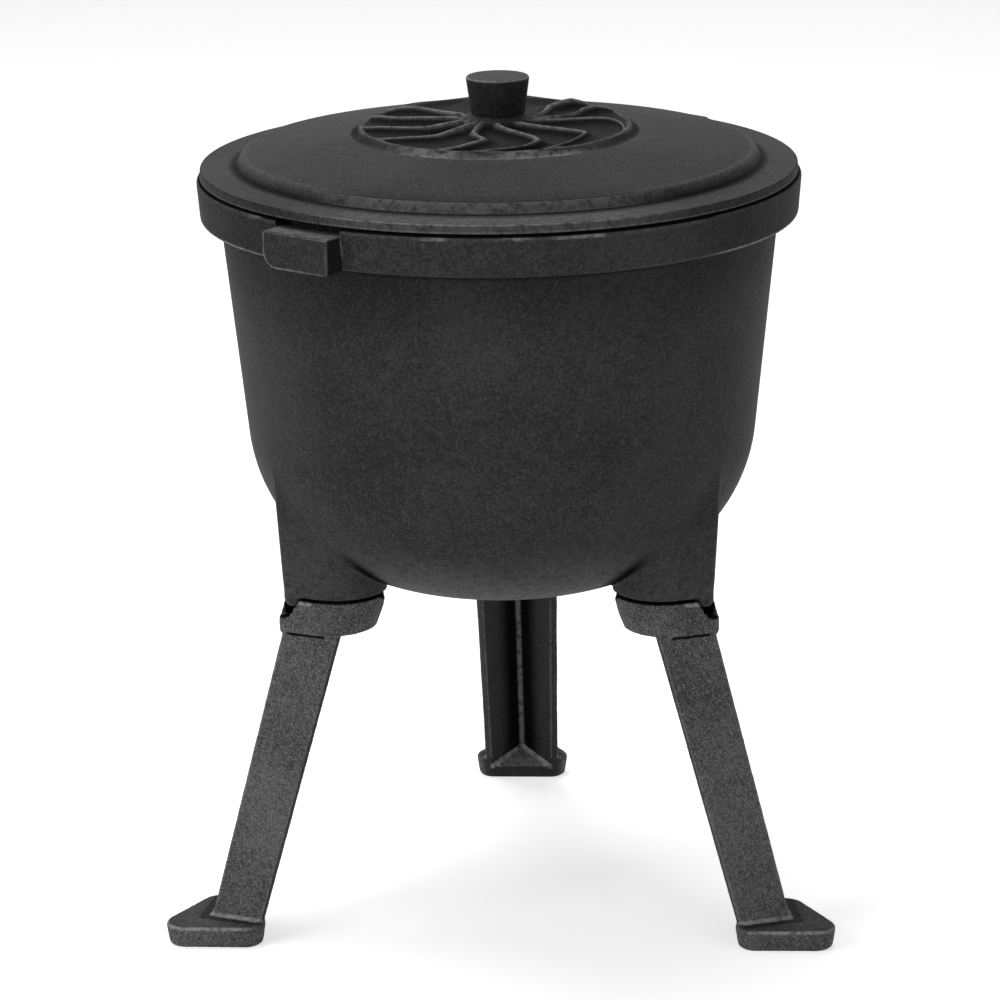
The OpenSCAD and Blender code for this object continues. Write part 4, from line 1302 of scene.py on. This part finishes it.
def makeFloor():
    deselectAll()
    bpy.ops.mesh.primitive_plane_add(size=studioForm["floorSize"])
    floor = bpy.context.object
    floor.name = "studioFloor"
    material = bpy.data.materials.new("paleFloor")
    material.use_nodes = True
    tree = material.node_tree
    tree.nodes.clear()
    output = addNode(tree, "ShaderNodeOutputMaterial")
    plain = addNode(tree, "ShaderNodeBsdfDiffuse", Color=studioForm["floorColour"])
    glow = addNode(tree, "ShaderNodeEmission", Color=(1, 1, 1, 1), Strength=studioForm["floorGlow"])
    both = addNode(tree, "ShaderNodeAddShader")
    mix = addNode(tree, "ShaderNodeMixShader")
    tree.links.new(plain.outputs[0], both.inputs[0])
    tree.links.new(glow.outputs[0], both.inputs[1])
    tree.links.new(seenDirectly(tree), mix.inputs["Fac"])
    tree.links.new(plain.outputs[0], mix.inputs[1])
    tree.links.new(both.outputs[0], mix.inputs[2])
    tree.links.new(mix.outputs[0], output.inputs["Surface"])
    floor.data.materials.append(material)


def makeWorld():
    world = bpy.data.worlds.new("studioWorld")
    bpy.context.scene.world = world
    world.use_nodes = True
    tree = world.node_tree
    back = tree.nodes["Background"]
    back.inputs["Color"].default_value = (1, 1, 1, 1)
    extra = mathNode(tree, "MULTIPLY", seenDirectly(tree), 1 - studioForm["worldStrength"])
    tree.links.new(mathNode(tree, "ADD", extra, studioForm["worldStrength"]), back.inputs["Strength"])


softBoxes = {
    "keyRight": {"place": (1.5, -1.6, 1.9), "size": (1.3, 1.3), "power": 4.5},
    "fillLeft": {"place": (-1.9, -1.2, 1.3), "size": (1.2, 1.6), "power": 14},
    "top": {"place": (-0.45, 0.5, 2.4), "size": (1.6, 1.6), "power": 37},
    "lowFront": {"place": (0, -1.0, 0.03), "size": (1.4, 0.3), "power": 3.8},
}


def makeLights():
    target = Vector((0, 0, 0.22))
    for name, box in softBoxes.items():
        deselectAll()
        bpy.ops.object.light_add(type="AREA", location=box["place"])
        lamp = bpy.context.object
        lamp.name = name
        lamp.data.shape = "RECTANGLE"
        lamp.data.size, lamp.data.size_y = box["size"]
        lamp.data.energy = box["power"]
        lamp.rotation_euler = (target - lamp.location).to_track_quat("-Z", "Y").to_euler()


cameraForm = {
    "distance": 1.91265, "height": 0.76039, "azimuth": 3.1, "pitch": 0.2861,
    "yaw": -0.0009, "roll": -0.0145, "lens": 146.17,
}


def makeCamera():
    # place, pitch, yaw and roll measured from the photograph's perspective
    f = cameraForm
    turn = Matrix.Rotation(math.radians(f["azimuth"]), 3, "Z")
    place = turn @ Vector((0, -f["distance"], f["height"]))
    ahead = turn @ Vector((
        math.sin(f["yaw"]) * math.cos(f["pitch"]),
        math.cos(f["yaw"]) * math.cos(f["pitch"]), -math.sin(f["pitch"])
    ))
    right = turn @ Vector((math.cos(f["yaw"]), -math.sin(f["yaw"]), 0))
    up = right.cross(ahead)
    c, s = math.cos(f["roll"]), math.sin(f["roll"])
    rolledRight = right * c + up * s
    rolledUp = up * c - right * s
    data = bpy.data.cameras.new("photoCamera")
    data.sensor_width = 36
    data.lens = f["lens"]
    data.clip_end = 50
    camera = bpy.data.objects.new("photoCamera", data)
    bpy.context.scene.collection.objects.link(camera)
    rows = [(rolledRight[i], rolledUp[i], -ahead[i], place[i]) for i in range(3)]
    camera.matrix_world = Matrix(rows + [(0, 0, 0, 1)])
    bpy.context.scene.camera = camera


makeFloor()
makeWorld()
makeLights()
makeCamera()
bpy.context.scene.view_settings.view_transform = "Standard"
print("stage: studio made")
